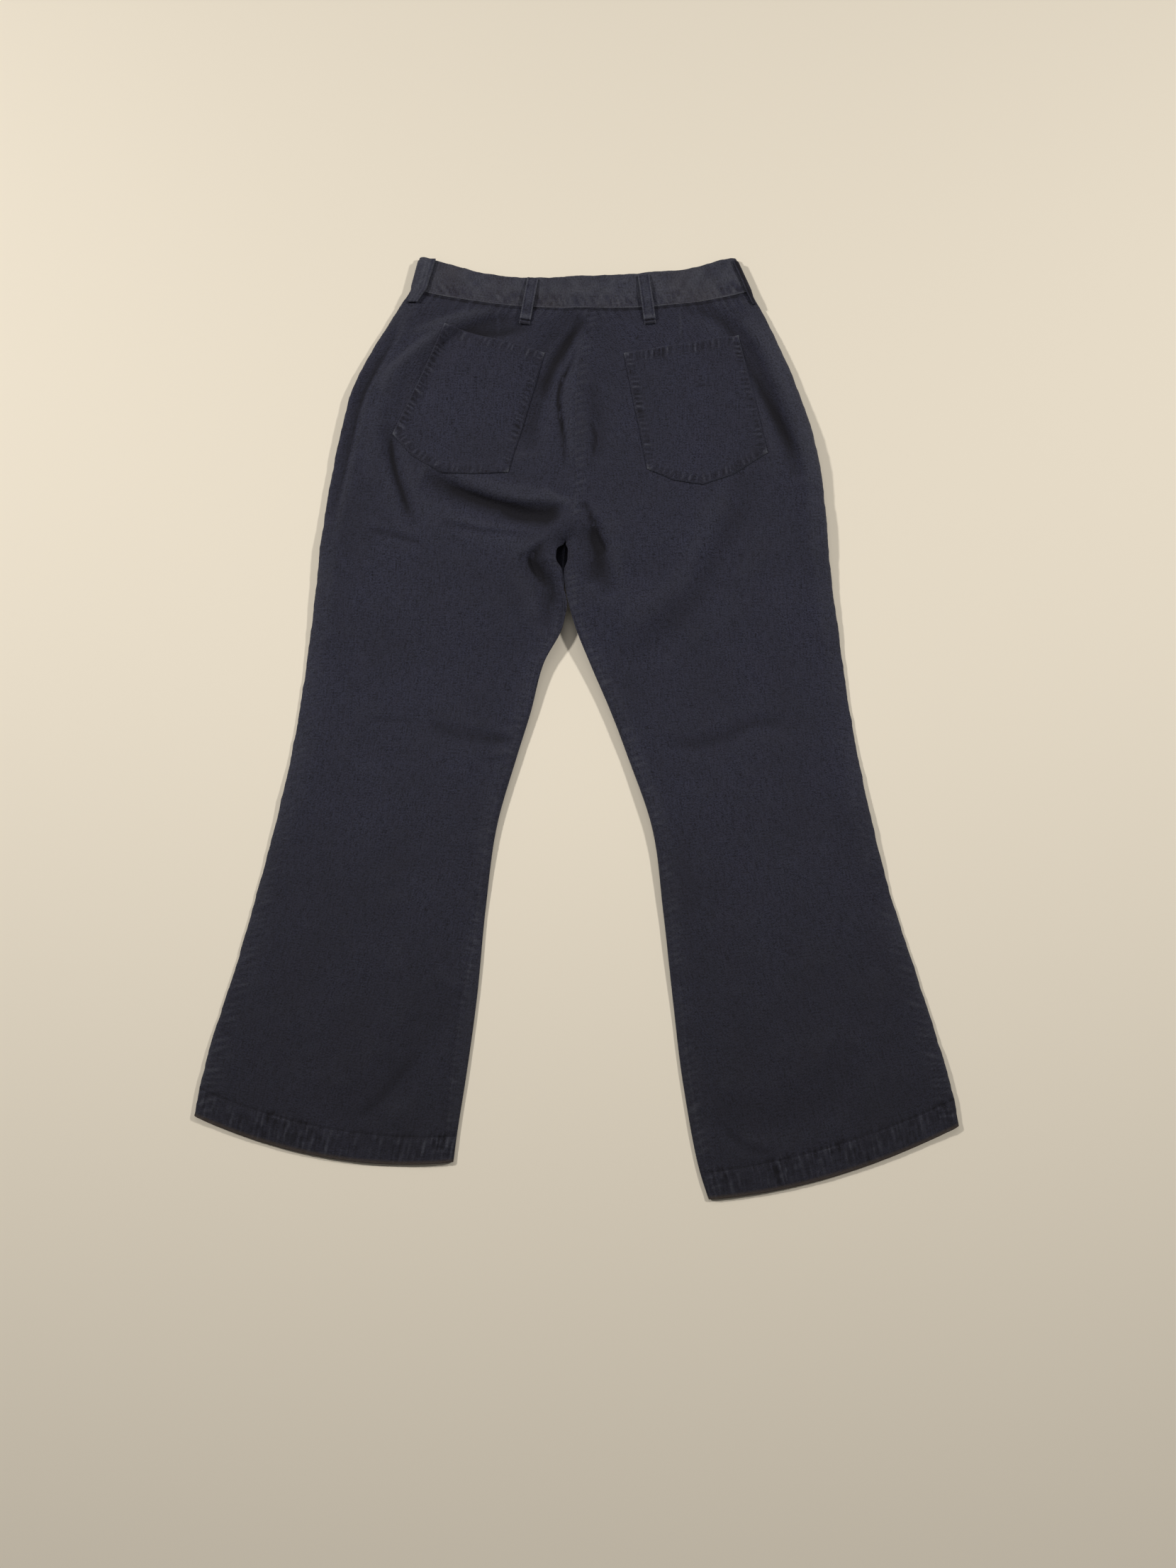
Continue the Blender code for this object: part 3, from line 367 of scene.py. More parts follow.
class Leg:
    """One leg: its sections as smooth curves of the distance down its middle."""

    def __init__(self, name, sections, seed, gape=0.0):
        self.name, self.seed, self.gape = name, seed, gape
        self.side = -1 if sections[0].outer_x < 0 else 1
        self.columns = np.array(sections, float).T
        outer_x, outer_y, inner_x, inner_y = self.columns[:4]
        self.middle_y = (outer_y + inner_y) / 2
        self.at = lengths_along(np.stack([(outer_x + inner_x) / 2, self.middle_y], -1))
        self.fork, self.hem, self.end = self.at[FORK], self.at[-2], self.at[-1]
        self.fork_y = inner_y[FORK]

    def read(self, row):
        """The section at a distance down the leg. Its side fold wanders by about half a millimetre."""
        now = Section(*(smooth(self.at, values, row) for values in self.columns))
        wander = 0.5 * waver(row, 60, self.seed) + 0.25 * waver(row, 17, self.seed + 1)
        apart = TOUCH / 2 + self.gape * (self.hole(row) + 0.2 * bell(row - self.fork - 45, 30))
        apart = apart - 0.5 * self.gape * (self.side < 0) * bell(row - self.fork - 68, 15)
        outer_x, inner_x = now.outer_x + self.side * wander, now.inner_x + self.side * apart
        return now._replace(outer_x=outer_x, inner_x=inner_x)

    def hole(self, row):
        """Where the two inner edges stand apart, just below the fork."""
        return np.exp(-(((row - self.fork - 14) / 12.5) ** 4)) * ramp(row, self.fork - 3, self.fork + 5)

    def lifts(self, row):
        """How much the cloth stands up at the side fold and at the inner edge."""
        at = np.array(LIFT_ROWS, float)
        return (smooth(at, np.array(lift[self.name]), row) for lift in (OUTER_LIFT, INNER_LIFT))

    def crevice(self, row):
        """Where the inner edges stand up steeply, below the fork."""
        return bell(row - self.fork - 86, 78) * ramp(row, self.fork - 14, self.fork + 30)

    def edge_level(self, spot):
        """Height of the panels' common edge, between that of the side fold and that of the inner edge."""
        outer, inner = self.lifts(spot.row)
        inner = 3.0 + (inner - 3.0) * ramp(spot.row, self.fork + 20, self.fork + 100)
        raised = 1.2 * self.gape * self.hole(spot.row) * spot.share
        raised = raised + 8.6 * self.crevice(spot.row) * spot.share**4
        return LEG_EDGE + 0.43 * (outer + (inner - outer) * spot.share) + raised

    def spot(self, row, share):
        """The point at a share of the way from the side fold to the inner edge."""
        now = self.read(row)
        length = width_of(now)
        x = now.outer_x + (now.inner_x - now.outer_x) * share
        lateral = length * (1 - share)
        from_inner = np.hypot(lateral, np.maximum(now.inner_y - self.fork_y, 0))
        return Spot(x, y_across(now, share), row, share, length * share, lateral, from_inner, now)

    def find(self, x, y):
        """The spot over x and y: the row is moved by the miss in y until there is none."""
        x, y = np.asarray(x, float), np.asarray(y, float)
        row = np.interp(-y, -self.middle_y, self.at)
        for _ in range(10):
            now = self.read(row)
            share = (x - now.outer_x) / (now.inner_x - now.outer_x)
            row = np.clip(row + y_across(now, share) - y, 0, self.end)
        return self.spot(row, share)


# The last number is how wide the crotch gapes between the back panels. The front panels meet there.
LEGS = {"left": Leg("left", LEFT_SECTIONS, 11, 7.6), "right": Leg("right", RIGHT_SECTIONS, 23, 5.0)}
FRONT_LEGS = [Leg("left", LEFT_SECTIONS, 11), Leg("right", RIGHT_SECTIONS, 23)]


def hem_relief(leg, spot):
    """The turned-up hem: a step at its stitch line, and slanted ripples that are strongest at that line."""
    into = spot.row - leg.hem
    across = spot.from_outer
    step = ramp(into, -0.6, 0.8)
    rope = pucker(across, into, leg.seed + 3, HEM_PITCH, 0.12)
    fine = pucker(across, into, leg.seed + 5, HEM_FINE_PITCH, -0.1)
    patches = 0.65 + 0.5 * hills(across, into, 21, leg.seed + 6)
    zone = patches * ramp(into, -10, 2) * (1 - 0.35 * ramp(into, 16, HEM_DEPTH))
    bars = 0.75 * (rope - 0.45) + 0.4 * (fine - 0.45) + 0.35 * hills(across, into, 5, leg.seed + 8)
    height = HEM_PROUD * step + 1.2 * zone * bars - 0.35 * bell(into - HEM_STITCH, 1.0)
    edge = bell(into - 0.6, 0.9) * patches
    # The line just above the hem's upper edge is painted darker, as shade; crowns and the folded edge are
    # paler with wear
    wear = zone * (0.04 * step + 0.65 * bars) - 0.15 * bell(into + 1.5, 1.5) + 0.14 * edge
    grime = 0.75 * ramp(into, HEM_DEPTH - 4, HEM_DEPTH - 0.5)
    return Relief(height, wear, grime)


def side_relief(leg, spot):
    """Faint ripples along the side fold, which grow towards the hem."""
    strength = np.interp(spot.row, (0, 250, 480, 700, 900, 1000), (0.15, 0.2, 0.28, 0.4, 0.8, 0.9))
    zone = strength * ramp(spot.from_outer, 1.5, 6) * (1 - ramp(spot.from_outer, 12, 26))
    ripple = pucker(spot.row, spot.from_outer, leg.seed + 7, SIDE_PITCH, 0.5)
    # A paler band along the side fold: partly wear, partly a painted highlight on the rolled edge
    edge = 0.16 * bell(spot.from_outer, 18) * (0.8 + 0.4 * hills(spot.x, spot.y, 40, 17))
    return Relief(0.7 * zone * (ripple - 0.4), 0.4 * zone * (ripple - 0.45) + edge, 0 * zone)


def inseam_distance(leg, row):
    """How far the inseam's stitch line lies from the inner edge. The lower left leg's has rolled inwards."""
    if leg.side > 0:
        return np.interp(row, (300, 1060), (8.0, 9.0))
    return np.interp(row, (300, 760, 830, 905, 985, 1020), (8.0, 9.0, 17.0, 16.5, 9.5, 8.5))


def inseam_relief(leg, spot):
    """The felled inseam: a low ridge along the inner edge, its stitch line a groove with faint ripples."""
    past = spot.lateral - inseam_distance(leg, spot.row)
    below = ramp(spot.row, leg.fork + 2, leg.fork + 30)
    ripple = pucker(spot.row, past, leg.seed + 9, INSEAM_PITCH, 0.3)
    height = below * (0.3 * ramp(-past, -0.8, 0.8) - 0.3 * bell(past - 1.2, 1.2))
    height = height + below * 0.55 * (ripple - 0.4) * bell(past, 7)
    ripple = ripple * (0.7 + 0.5 * hills(spot.x, spot.y, 30, 19))
    # The band along the inner edge is paler: partly wear, partly a painted highlight on the rolled edge
    wear = 0.32 * (ripple - 0.35) * bell(past, 7) + 0.10 * bell(past, 1.2) + 0.10 * bell(spot.lateral, 16)
    return Relief(height, below * wear, 0 * past)


def rise_relief(leg, spot):
    """The felled seam of the seat: a raised strip on the right of the seam line, and ripples across it."""
    from_seam = spot.lateral * leg.side
    above = 1 - ramp(spot.row, leg.fork - 6, leg.fork + 10)
    ripple = pucker(spot.row, from_seam, 41, RISE_PITCH, 0.35)
    strip = ramp(from_seam, -0.1, 0.5) * (1 - ramp(from_seam, FELL_WIDE, FELL_WIDE + 1.2))
    groove = bell(from_seam - FELL_STITCH, 0.8) + bell(from_seam - FELL_FAR_STITCH, 0.8)
    height = FELL_PROUD * strip - 0.25 * groove + 0.5 * (ripple - 0.4) * bell(from_seam - 5, 8)
    patches = 0.5 + 0.5 * waver(spot.row, 70, 43)
    wear = patches * 0.16 * bell(from_seam - 0.6, 0.9) + 0.22 * (ripple - 0.4) * bell(from_seam - 4.5, 7)
    return Relief(above * height, above * wear, 0 * height)


def waist_relief(leg, spot):
    """Short ripples that hang from the waist seam, and the dip beneath it, painted darker as shade."""
    ripple = pucker(spot.from_outer, spot.row, leg.seed + 15, WAIST_PITCH)
    zone = bell(spot.row, 16)
    seam = bell(spot.row - 1.6, 1.6)
    ripple = (ripple - 0.4) * zone
    # The line beneath the seam is painted darker, as shade
    return Relief(0.5 * ripple - 0.5 * seam, 0.2 * ripple - 0.3 * seam, 0 * zone)


def cloth_relief(x, y):
    """Washed denim's own unevenness: soft hills a few millimetres to a few centimetres across."""
    broad, small, fine = hills(x, y, 34, 3), hills(x + 0.4 * y, y - 0.2 * x, 13, 5), hills(x, y, 6, 7)
    return 0.38 * broad + 0.16 * small + 0.05 * fine


def back_height(leg, spot):
    """A back panel's outer face, how worn it is with painted shade and highlight, and how brown it is.

    The seat's form turns softly into the shin's. Folds, creases and seams are added, a least height is
    kept, and the face rolls down at its edges to the level that it shares with the front.
    """
    now = spot.now
    outer_lift, inner_lift = leg.lifts(spot.row)
    seat = seat_height(now, spot.share, spot.from_outer)
    seat = seat + (outer_lift - 3.0) * bell(spot.from_outer, LIFT_SPREAD) * ramp(spot.row, 10, 70)
    shin = LEG_HEIGHT + outer_lift * bell(spot.from_outer, LIFT_SPREAD)
    shin = shin + inner_lift * bell(spot.lateral, LIFT_SPREAD)
    base = seat + (shin - seat) * ramp(spot.row, leg.fork + 60, leg.fork + 180)
    creases = folds_at(spot.x, spot.y, CREASES, 1.0)
    folds = folds_at(spot.x, spot.y)
    base = base + folds + creases + lift_at(spot.x, spot.y)
    hem = ramp(spot.row, leg.hem - 3, leg.hem)
    over = base - LEAST_HEIGHT - (LEAST_HEM_HEIGHT - LEAST_HEIGHT) * hem
    base = base - over + (over + np.sqrt(over**2 + 0.8)) / 2
    parts = [hem_relief(leg, spot), side_relief(leg, spot), inseam_relief(leg, spot)]
    parts += [rise_relief(leg, spot), waist_relief(leg, spot)]
    fine = sum(part.height for part in parts) + cloth_relief(spot.x, spot.y)
    inner_roll = now.roll * (1 - 0.5 * leg.crevice(spot.row))
    edges = roll_over(spot.from_outer, BACK_ROLL) * roll_over(spot.from_inner, inner_roll)
    level = leg.edge_level(spot)
    height = level + (base + fine - level) * edges
    # Painted shade darkens the floors of creases and folds; the crowns of creases are paler with wear
    wear = 0.08 * np.clip(creases, -3, 0) + 0.05 * np.clip(creases, 0, 2) + 0.015 * np.clip(folds, -5, 0)
    wear = wear * ramp(spot.row, 0, 12) + sum(part.wear for part in parts)
    return Relief(height, wear, sum(part.grime for part in parts))


def front_height(leg, spot):
    """Height of a front panel's outer face, which lies on the surface and turns up at its edges."""
    edges = roll_over(spot.from_outer, FRONT_ROLL) * roll_over(spot.from_inner, FRONT_ROLL)
    parts = [hem_relief(leg, spot), inseam_relief(leg, spot), rise_relief(leg, spot)]
    hollow = 0.12 + 0.06 * hills(spot.x, spot.y, 18, 9) - 0.1 * sum(part.height for part in parts)
    lying = lift_at(spot.x, spot.y) + np.clip(hollow, 0.02, 0.4)
    height = (leg.edge_level(spot) - TOUCH) * (1 - edges) + lying * edges
    return Relief(height, sum(part.wear for part in parts), sum(part.grime for part in parts))


def waist_dip(x):
    """How far the front of the waist lies below the back, none at the two folds."""
    middle = (LEFT_SECTIONS[0].outer_x + RIGHT_SECTIONS[0].outer_x) / 2
    half = (RIGHT_SECTIONS[0].outer_x - LEFT_SECTIONS[0].outer_x) / 2
    return FRONT_DIP * (1 - np.clip((x - middle) / half, -1, 1) ** 2)


def odd_count(values, others=0):
    """The values, with one more in the middle of the longest step if they and the others are even in all."""
    if (len(values) + others) % 2:
        return values
    longest = np.abs(np.diff(values)).argmax()
    return np.insert(values, longest + 1, values[longest : longest + 2].mean())


def grid_faces(index):
    """Quads between neighbouring rows and columns of a grid of point numbers."""
    return np.stack([index[:-1, :-1], index[:-1, 1:], index[1:, 1:], index[1:, :-1]], -1).reshape(-1, 4)


def rim_of(index):
    """The point numbers round the edge of a grid."""
    return np.concatenate([index[0], index[1:, -1], index[-1, -2::-1], index[-2:0:-1, 0]])


def shell_mesh(name, outer, inner, uv, attributes):
    """A closed wall between two grids of points, with the cloth's own coordinates as its UV map.

    The inner face is half as fine, so each of its rim's edges meets two of the outer rim's in a face of
    five sides.
    """
    rows, columns = outer.shape[:2]
    index = np.arange(rows * columns).reshape(rows, columns)
    half = rows * columns + np.arange(index[::2, ::2].size).reshape(index[::2, ::2].shape)
    rim, half_rim = rim_of(index), rim_of(half)
    side = np.stack([half_rim, np.roll(half_rim, -1), np.roll(rim, -2)[::2], rim[1::2], rim[::2]], -1)
    quads = np.concatenate([grid_faces(index), grid_faces(half)[:, ::-1]])
    upward = np.cross(outer[:-1, 1:] - outer[:-1, :-1], outer[1:, :-1] - outer[:-1, :-1])
    if (upward * (outer - inner)[:-1, :-1]).sum() < 0:
        quads, side = quads[:, ::-1], side[:, ::-1]
    corners = np.concatenate([quads.ravel(), side.ravel()]).astype(np.int32)
    starts = np.concatenate([4 * np.arange(len(quads)), quads.size + 5 * np.arange(len(side))])

    def both(values):
        wide = np.broadcast_to(values, (rows, columns, values.shape[-1]))
        return np.concatenate([wide.reshape(rows * columns, -1), wide[::2, ::2].reshape(half.size, -1)])

    points = np.concatenate([outer.reshape(-1, 3), inner[::2, ::2].reshape(-1, 3)]) * MM
    mesh = bpy.data.meshes.new(name)
    mesh.vertices.add(len(points))
    mesh.vertices.foreach_set("co", points.astype(np.float32).ravel())
    mesh.loops.add(len(corners))
    mesh.loops.foreach_set("vertex_index", corners)
    mesh.polygons.add(len(starts))
    mesh.polygons.foreach_set("loop_start", starts.astype(np.int32))
    mesh.update(calc_edges=True)
    layer = mesh.uv_layers.new(name="cloth")
    flat = both(np.stack(np.broadcast_arrays(*uv), -1)) * MM
    layer.data.foreach_set("uv", flat[corners].astype(np.float32).ravel())
    for key, values in attributes.items():
        made = mesh.attributes.new(key, "FLOAT", "POINT")
        shown = both(np.broadcast_to(values, (rows, columns))[..., None])
        made.data.foreach_set("value", shown.astype(np.float32).ravel())
    mesh.shade_smooth()
    return mesh


def normals_of(outer, up):
    """Unit normals of a grid of points, pointing up or down."""
    normal = np.cross(np.gradient(outer, axis=0), np.gradient(outer, axis=1))
    normal *= np.where(normal[..., 2:] * up < 0, -1, 1)
    return normal / np.linalg.norm(normal, axis=-1, keepdims=True)


def new_object(name, data):
    """An object at the origin, in the scene."""
    made = bpy.data.objects.new(name, data)
    bpy.context.scene.collection.objects.link(made)
    return made


def add_piece(name, mesh, slot, material, *replaced):
    """A finished mesh as a piece of the garment, on its one body."""
    piece = new_object(name, mesh)
    mesh.materials.append(material)
    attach(piece, "root")
    if replaced:
        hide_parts(*replaced)
    return piece


def add_cloth(name, outer, inner, uv, relief, material, node_name):
    """A piece of cloth between its outer and its inner face, in place of a node of the solids."""
    mesh = shell_mesh(name, outer, inner, uv, {"wear": relief.wear, "grime": relief.grime})
    return add_piece(name, mesh, "denim", material, node_name)


def quarter(radius, steps):
    """Distances from a rounded edge, close together where it is steep."""
    return radius * (1 - np.cos(np.linspace(0, np.pi / 2, steps + 1)))


def edge_taper(distance, thickness):
    """Thickness near a folded edge, rounded like half a thread: full from half the thickness on."""
    return thickness * np.clip(roll_over(distance, thickness / 2), 0.12, 1)


def panel_grid(leg, edge_roll, rolled_inner, fine, count):
    """Rows and columns over a panel: close together at its edges, its hem line and its lower fold."""
    near_hem = leg.hem + np.array([-1.6, -0.8, -0.2, 0.4, 1.0, 1.6, 2.4])
    low = leg.end - np.array([0, 0.12, 0.45, 1.0, 1.8])
    seat = np.arange(0, 560, 2.0 * fine)
    calf = np.arange(560, leg.hem - 12, 3.1 * fine)
    even = np.concatenate([seat, calf, np.arange(leg.hem - 12, leg.end - 2.5, 1.5 * fine)])
    even = even[np.abs(even[:, None] - near_hem).min(1) > 0.7]
    rows = odd_count(np.sort(np.concatenate([even, near_hem, low])))[:, None]
    length = width_of(leg.read(rows))
    outer = np.r_[quarter(edge_roll, 7), edge_roll + fine * np.array([1.6, 3.2, 5.0])]
    roll = leg.read(rows).roll if rolled_inner else np.full_like(length, edge_roll)
    inner = quarter(roll, 10 if rolled_inner else 7)
    inner = np.concatenate([inner, roll + fine * np.array([1.6, 3.4])], 1)
    count += (len(outer) + inner.shape[1] + count) % 2
    middle = outer[-1] + (length - inner[:, -1:] - outer[-1]) * np.linspace(0, 1, count + 1)[1:-1]
    distance = np.concatenate([np.repeat(outer[None], len(rows), 0), middle, length - inner[:, ::-1]], 1)
    return leg.spot(rows + 0 * distance, distance / length)


def mean_round(values, reach):
    """The mean over a square of grid steps round each point."""
    for axis in (0, 1):
        margin = [(0, 0), (0, 0)]
        margin[axis] = (reach + 1, reach)
        total = np.cumsum(np.pad(values, margin, mode="edge"), axis)
        at = np.arange(values.shape[axis])
        values = (np.take(total, at + 2 * reach + 1, axis) - np.take(total, at, axis)) / (2 * reach + 1)
    return values


def shade_and_wear_by_shape(spot, height):
    """Painted shade in the hollows and paler worn crowns, from the form of the cloth."""
    away = ramp(spot.from_outer, 8, 18) * ramp(spot.from_inner, 0.5 * spot.now.roll, spot.now.roll + 6)
    sharp, broad = height - mean_round(height, 4), height - mean_round(height, 11)
    return away * (0.10 * np.clip(sharp, -3, 0.5) + 0.05 * np.clip(broad, -4, 0.8))


def cloth_uv(leg, spot):
    """Across and along the cloth, in millimetres: the warp runs down the leg."""
    return (spot.from_outer + WEAVE_AT["panel"]) * leg.side, spot.row


def add_panel(side, leg, spot, outer, normal, relief, material):
    """A leg's panel: a wall that is thicker at the hem and thins evenly towards the hem's rounded fold."""
    full = WALL + (HEM_WALL - WALL) * ramp(spot.row, leg.hem - 1, leg.hem + 1)
    wall = np.minimum(full, edge_taper(leg.end - spot.row, HEM_WALL))
    outer = outer - normal * ((full - wall) / 2)[..., None]
    inner = outer - normal * wall[..., None]
    name, node_name = f"{side}_panel_{leg.name}", f"{side}_{leg.name}"
    return add_cloth(name, outer, inner, cloth_uv(leg, spot), relief, material, node_name)


def add_back_panel(leg, material):
    """The back of a leg, from the waist seam to the folded edge of its hem."""
    spot = panel_grid(leg, BACK_ROLL, True, 1.0, 138)
    relief = back_height(leg, spot)
    outer = np.stack([spot.x, spot.y, relief.height], -1)
    normal = normals_of(outer, 1)
    sideways = np.array([leg.side, 0, 0])
    normal[:, 0] = sideways
    below = spot.row[:, 0] > leg.fork
    normal[below, -1] = -sideways
    normal[~below, -1, 0] = 0
    normal /= np.linalg.norm(normal, axis=-1, keepdims=True)
    relief = relief._replace(wear=relief.wear + shade_and_wear_by_shape(spot, relief.height))
    return add_panel("back", leg, spot, outer, normal, relief, material)


def add_front_panel(leg, material):
    """The front of a leg, flat on the surface, its edges turned up to meet the back panel."""
    spot = panel_grid(leg, FRONT_ROLL, False, 1.6, 56)
    relief = front_height(leg, spot)
    y = spot.y - waist_dip(spot.x) * np.clip(1 - spot.row / DIP_FADE, 0, 1) ** 2
    outer = np.stack([spot.x, y, relief.height], -1)
    normal = normals_of(outer, -1)
    return add_panel("front", leg, spot, outer, normal, relief, material)


def waist_seam(x):
    """The y and the height of the back panels' upper edge at x."""
    y, height = np.zeros_like(x), np.zeros_like(x)
    for leg in LEGS.values():
        top = leg.read(np.zeros_like(x))
        here = (x < LEFT_SECTIONS[0].inner_x) == (leg.side < 0)
        share = np.clip((x - top.outer_x) / (top.inner_x - top.outer_x), 0, 1)
        y = np.where(here, y_across(top, share), y)
        height = np.where(here, seat_height(top, share, np.abs(x - top.outer_x)), height)
    height = height + folds_at(x, y) + lift_at(x, y)
    return y, np.maximum(height, LEAST_HEIGHT) + BAND_PROUD


def band_relief(x, up_from_seam, to_top):
    """Ripples just above the band's lower stitch line, and a softly worn upper edge."""
    ripple = pucker(x, up_from_seam, 71, BAND_PITCH, 0.55)
    fine = pucker(x, up_from_seam, 73, BAND_FINE_PITCH, -0.2)
    zone = ramp(up_from_seam, 1.0, 4.0) * (1 - ramp(up_from_seam, 9, 20))
    patches = 0.75 + 0.5 * hills(x, up_from_seam, 26, 75)
    bars = patches * (0.8 * (ripple - 0.42) + 0.35 * (fine - 0.42))
    height = 1.1 * zone * bars - 0.3 * bell(up_from_seam - BAND_STITCH, 0.9)
    height = height + 0.3 * hills(x, up_from_seam, 15, 77) + 0.18 * hills(x, 3 * up_from_seam, 6, 79)
    wear = 0.75 * zone * bars + 0.40 * bell(up_from_seam - 0.5, 0.9) * patches + 0.12 * bell(to_top, 1.5)
    wear = wear + 0.28 + 0.16 * hills(x, up_from_seam, 7, 87)
    return Relief(height, wear, 0.10 + 0.10 * hills(x, up_from_seam, 30, 81))


def band_ring(level, lap_out, back_run, lap_in):
    """Points, directions and relief round the band's outer face, from level 0 at its seam to 1 at its top."""
    seam_left, seam_right = LEFT_SECTIONS[0].outer_x, RIGHT_SECTIONS[0].outer_x
    left = seam_left + (BAND_TOP_X[0] - seam_left) * level
    right = seam_right + (BAND_TOP_X[-1] - seam_right) * level
    share = np.r_[lap_out, back_run, lap_in] + 0 * level
    x = left + share * (right - left)
    place = np.arange(len(share[0]))
    second = place >= len(lap_out) + len(back_run)
    under = second | (place < len(lap_out))
    seam_x = seam_left + share * (seam_right - seam_left)
    seam_y, height = waist_seam(seam_x)
    top_y = smooth(BAND_TOP_X, BAND_TOP_Y, BAND_TOP_X[0] + share * np.ptp(BAND_TOP_X))
    top_y = top_y + 0.5 * waver(x, 46, 83) + 0.25 * waver(x, 15, 85)
    tall = top_y - seam_y
    y = seam_y + TOUCH + level * (tall - TOUCH) - np.where(under, waist_dip(seam_x), 0)
    edge = np.minimum(x - left, right - x)
    roll = np.where(under, FRONT_ROLL, BACK_ROLL)
    rise = roll_over(edge, roll)
    relief = band_relief(x + 1000 * under, level * tall, (1 - level) * tall)
    risen = np.clip((RISE_FROM - share) / (RISE_FROM - RISE_TO), 0, 1)
    lap = np.where(second, (BAND_WALL + GAP) * risen, 0)
    back_z = SEAM_HEIGHT + (height + relief.height - SEAM_HEIGHT) * rise
    lying = lift_at(x, y) + np.clip(0.15 - 0.1 * relief.height, 0.02, 0.4)
    front_z = SEAM_HEIGHT * (1 - rise) + lying * rise + lap
    z = np.where(under, front_z, back_z)
    turn = np.arccos(1 - np.clip(edge / roll, 0, 1))
    outward = np.where(x - left < right - x, -1, 1) * np.cos(turn)
    direction = np.stack([outward, 0 * x, np.where(under, -1, 1) * np.sin(turn)], -1)
    return np.stack([x, y, z], -1), direction, relief


def add_waistband(material):
    """One strip round the waist, its ends lapped at the middle of the front, its upper edge folded."""
    length = RIGHT_SECTIONS[0].outer_x - LEFT_SECTIONS[0].outer_x
    back_edge, front_edge = quarter(BACK_ROLL, 8) / length, quarter(FRONT_ROLL, 6) / length
    middle = np.linspace(back_edge[-1], 1 - back_edge[-1], 176)[1:-1]
    back_run = np.r_[back_edge, middle, 1 - back_edge[::-1]]
    to_left = np.linspace(OUTER_END, front_edge[-1], 60)
    lap_out = np.r_[to_left, front_edge[-2:0:-1]]
    to_end = np.sort(np.r_[np.linspace(INNER_END, 1 - front_edge[-1], 66), RISE_TO, RISE_FROM])[::-1]
    lap_in = np.r_[1 - front_edge[1:-1], to_end]
    back_run = odd_count(back_run, len(lap_out) + len(lap_in))
    levels = np.array([0, 0.012, 0.03, 0.05, *np.linspace(0.08, 0.95, 21), 0.97, 0.985, 0.995, 1.0])[:, None]
    outer, direction, relief = band_ring(levels, lap_out, back_run, lap_in)
    near = np.minimum(levels * BAND_TALL + 0.25, (1 - levels) * BAND_TALL)
    wall = (edge_taper(near, BAND_WALL) + 0 * outer[..., 0])[..., None]
    outer = outer - direction * (BAND_WALL - wall) / 2
    uv = levels * BAND_TALL + WEAVE_AT["waistband"], lengths_along(outer[0])
    return add_cloth("waistband_cloth", outer, outer - direction * wall, uv, relief, material, "waistband")


def leg_at(x, y):
    """The outer height of the back panels at x and y."""
    left, right = (leg.find(x, y) for leg in LEGS.values())
    on_left = x < left.now.inner_x
    heights = [back_height(leg, spot).height for leg, spot in zip(LEGS.values(), (left, right))]
    return np.where(on_left, *heights)


def garment_height(x, y):
    """The outer height of the back panels and, above their upper edge, of the waistband."""
    seam_y, height = waist_seam(x)
    on_band = y > seam_y
    panel = leg_at(x, np.minimum(y, seam_y))
    band = height + band_relief(x, y - seam_y, BAND_REST).height
    return np.where(on_band, band, panel)


def outline_distance(corners, x, y):
    """Distance to each side of a closed outline, and how far along it, with the sides in the last axis."""
    start = np.array(corners, float)
    run = np.roll(start, -1, axis=0) - start
    distance, _, share = to_segments(start, run, x, y)
    return distance, share * np.hypot(*run.T)


def spread_shares(count, edge):
    """Shares from 0 to 1, close together near both ends."""
    middle = np.linspace(0, 1, count)
    middle = middle[(middle > 3.5 * edge) & (middle < 1 - 3.5 * edge)]
    near = edge * np.array([0, 0.25, 0.6, 1.0, 1.8, 2.8])
    return np.unique(np.r_[near, middle, 1 - near])


def pocket_relief(pocket, x, y):
    """A sewn-down patch: its folded edge stands proud, and ripples run in from it on every side."""
    corners = pocket.opening + pocket.foot[::-1]
    distance, along = outline_distance(corners, x, y)
    nearest = distance.argmin(-1)
    edge = pick(distance, nearest)
    way = pick(along, nearest) + lengths_along(corners)[nearest]
    ripple = pucker(way, edge, pocket.seed, POCKET_PITCH, 0.2)
    fine = pucker(way, edge, pocket.seed + 2, POCKET_FINE_PITCH)
    patches = 0.75 + 0.45 * hills(x, y, 24, pocket.seed + 4)
    deep = np.where(nearest == 0, 14.0, 11.0)
    zone = patches * ramp(edge, 0.8, 2.5) * (1 - ramp(edge, 0.5 * deep, 1.3 * deep))
    bars = 0.85 * (ripple - 0.42) + 0.3 * (fine - 0.42)
    turned = 0.32 * (1 - ramp(edge, deep, deep + 2.2))
    height = turned + 0.95 * zone * bars - 0.22 * bell(edge - POCKET_STITCH, 0.7)
    tips = pocket.opening + [pocket.foot[0], pocket.foot[-1]]
    corner = sum(bell(np.hypot(x - tip[0], y - tip[1]), 4.5) for tip in tips)
    at_foot = (nearest > 1) & (nearest <= len(pocket.foot))
    wear = np.where(at_foot, 0.6, 0.2) * patches**2 * bell(edge, 0.8)
    wear = wear + zone * np.maximum(1.3 * bars, 0.8 * bars) + 0.9 * corner * bell(edge, 3.0)
    return Relief(height, wear, 0 * wear), edge


def pocket_faces(pocket, x, y):
    """The heights of a patch's lower and upper face over x and y, and its relief."""
    relief, edge = pocket_relief(pocket, x, y)
    lower = leg_at(x, y) + PATCH_CLEARANCE * ramp(edge, 0, 3)
    wall = POCKET_WALL * np.clip(roll_over(edge, 1.1), 0.45, 1)
    return lower, lower + wall + np.maximum(relief.height, -0.5) * ramp(edge, 0, 1.5), relief


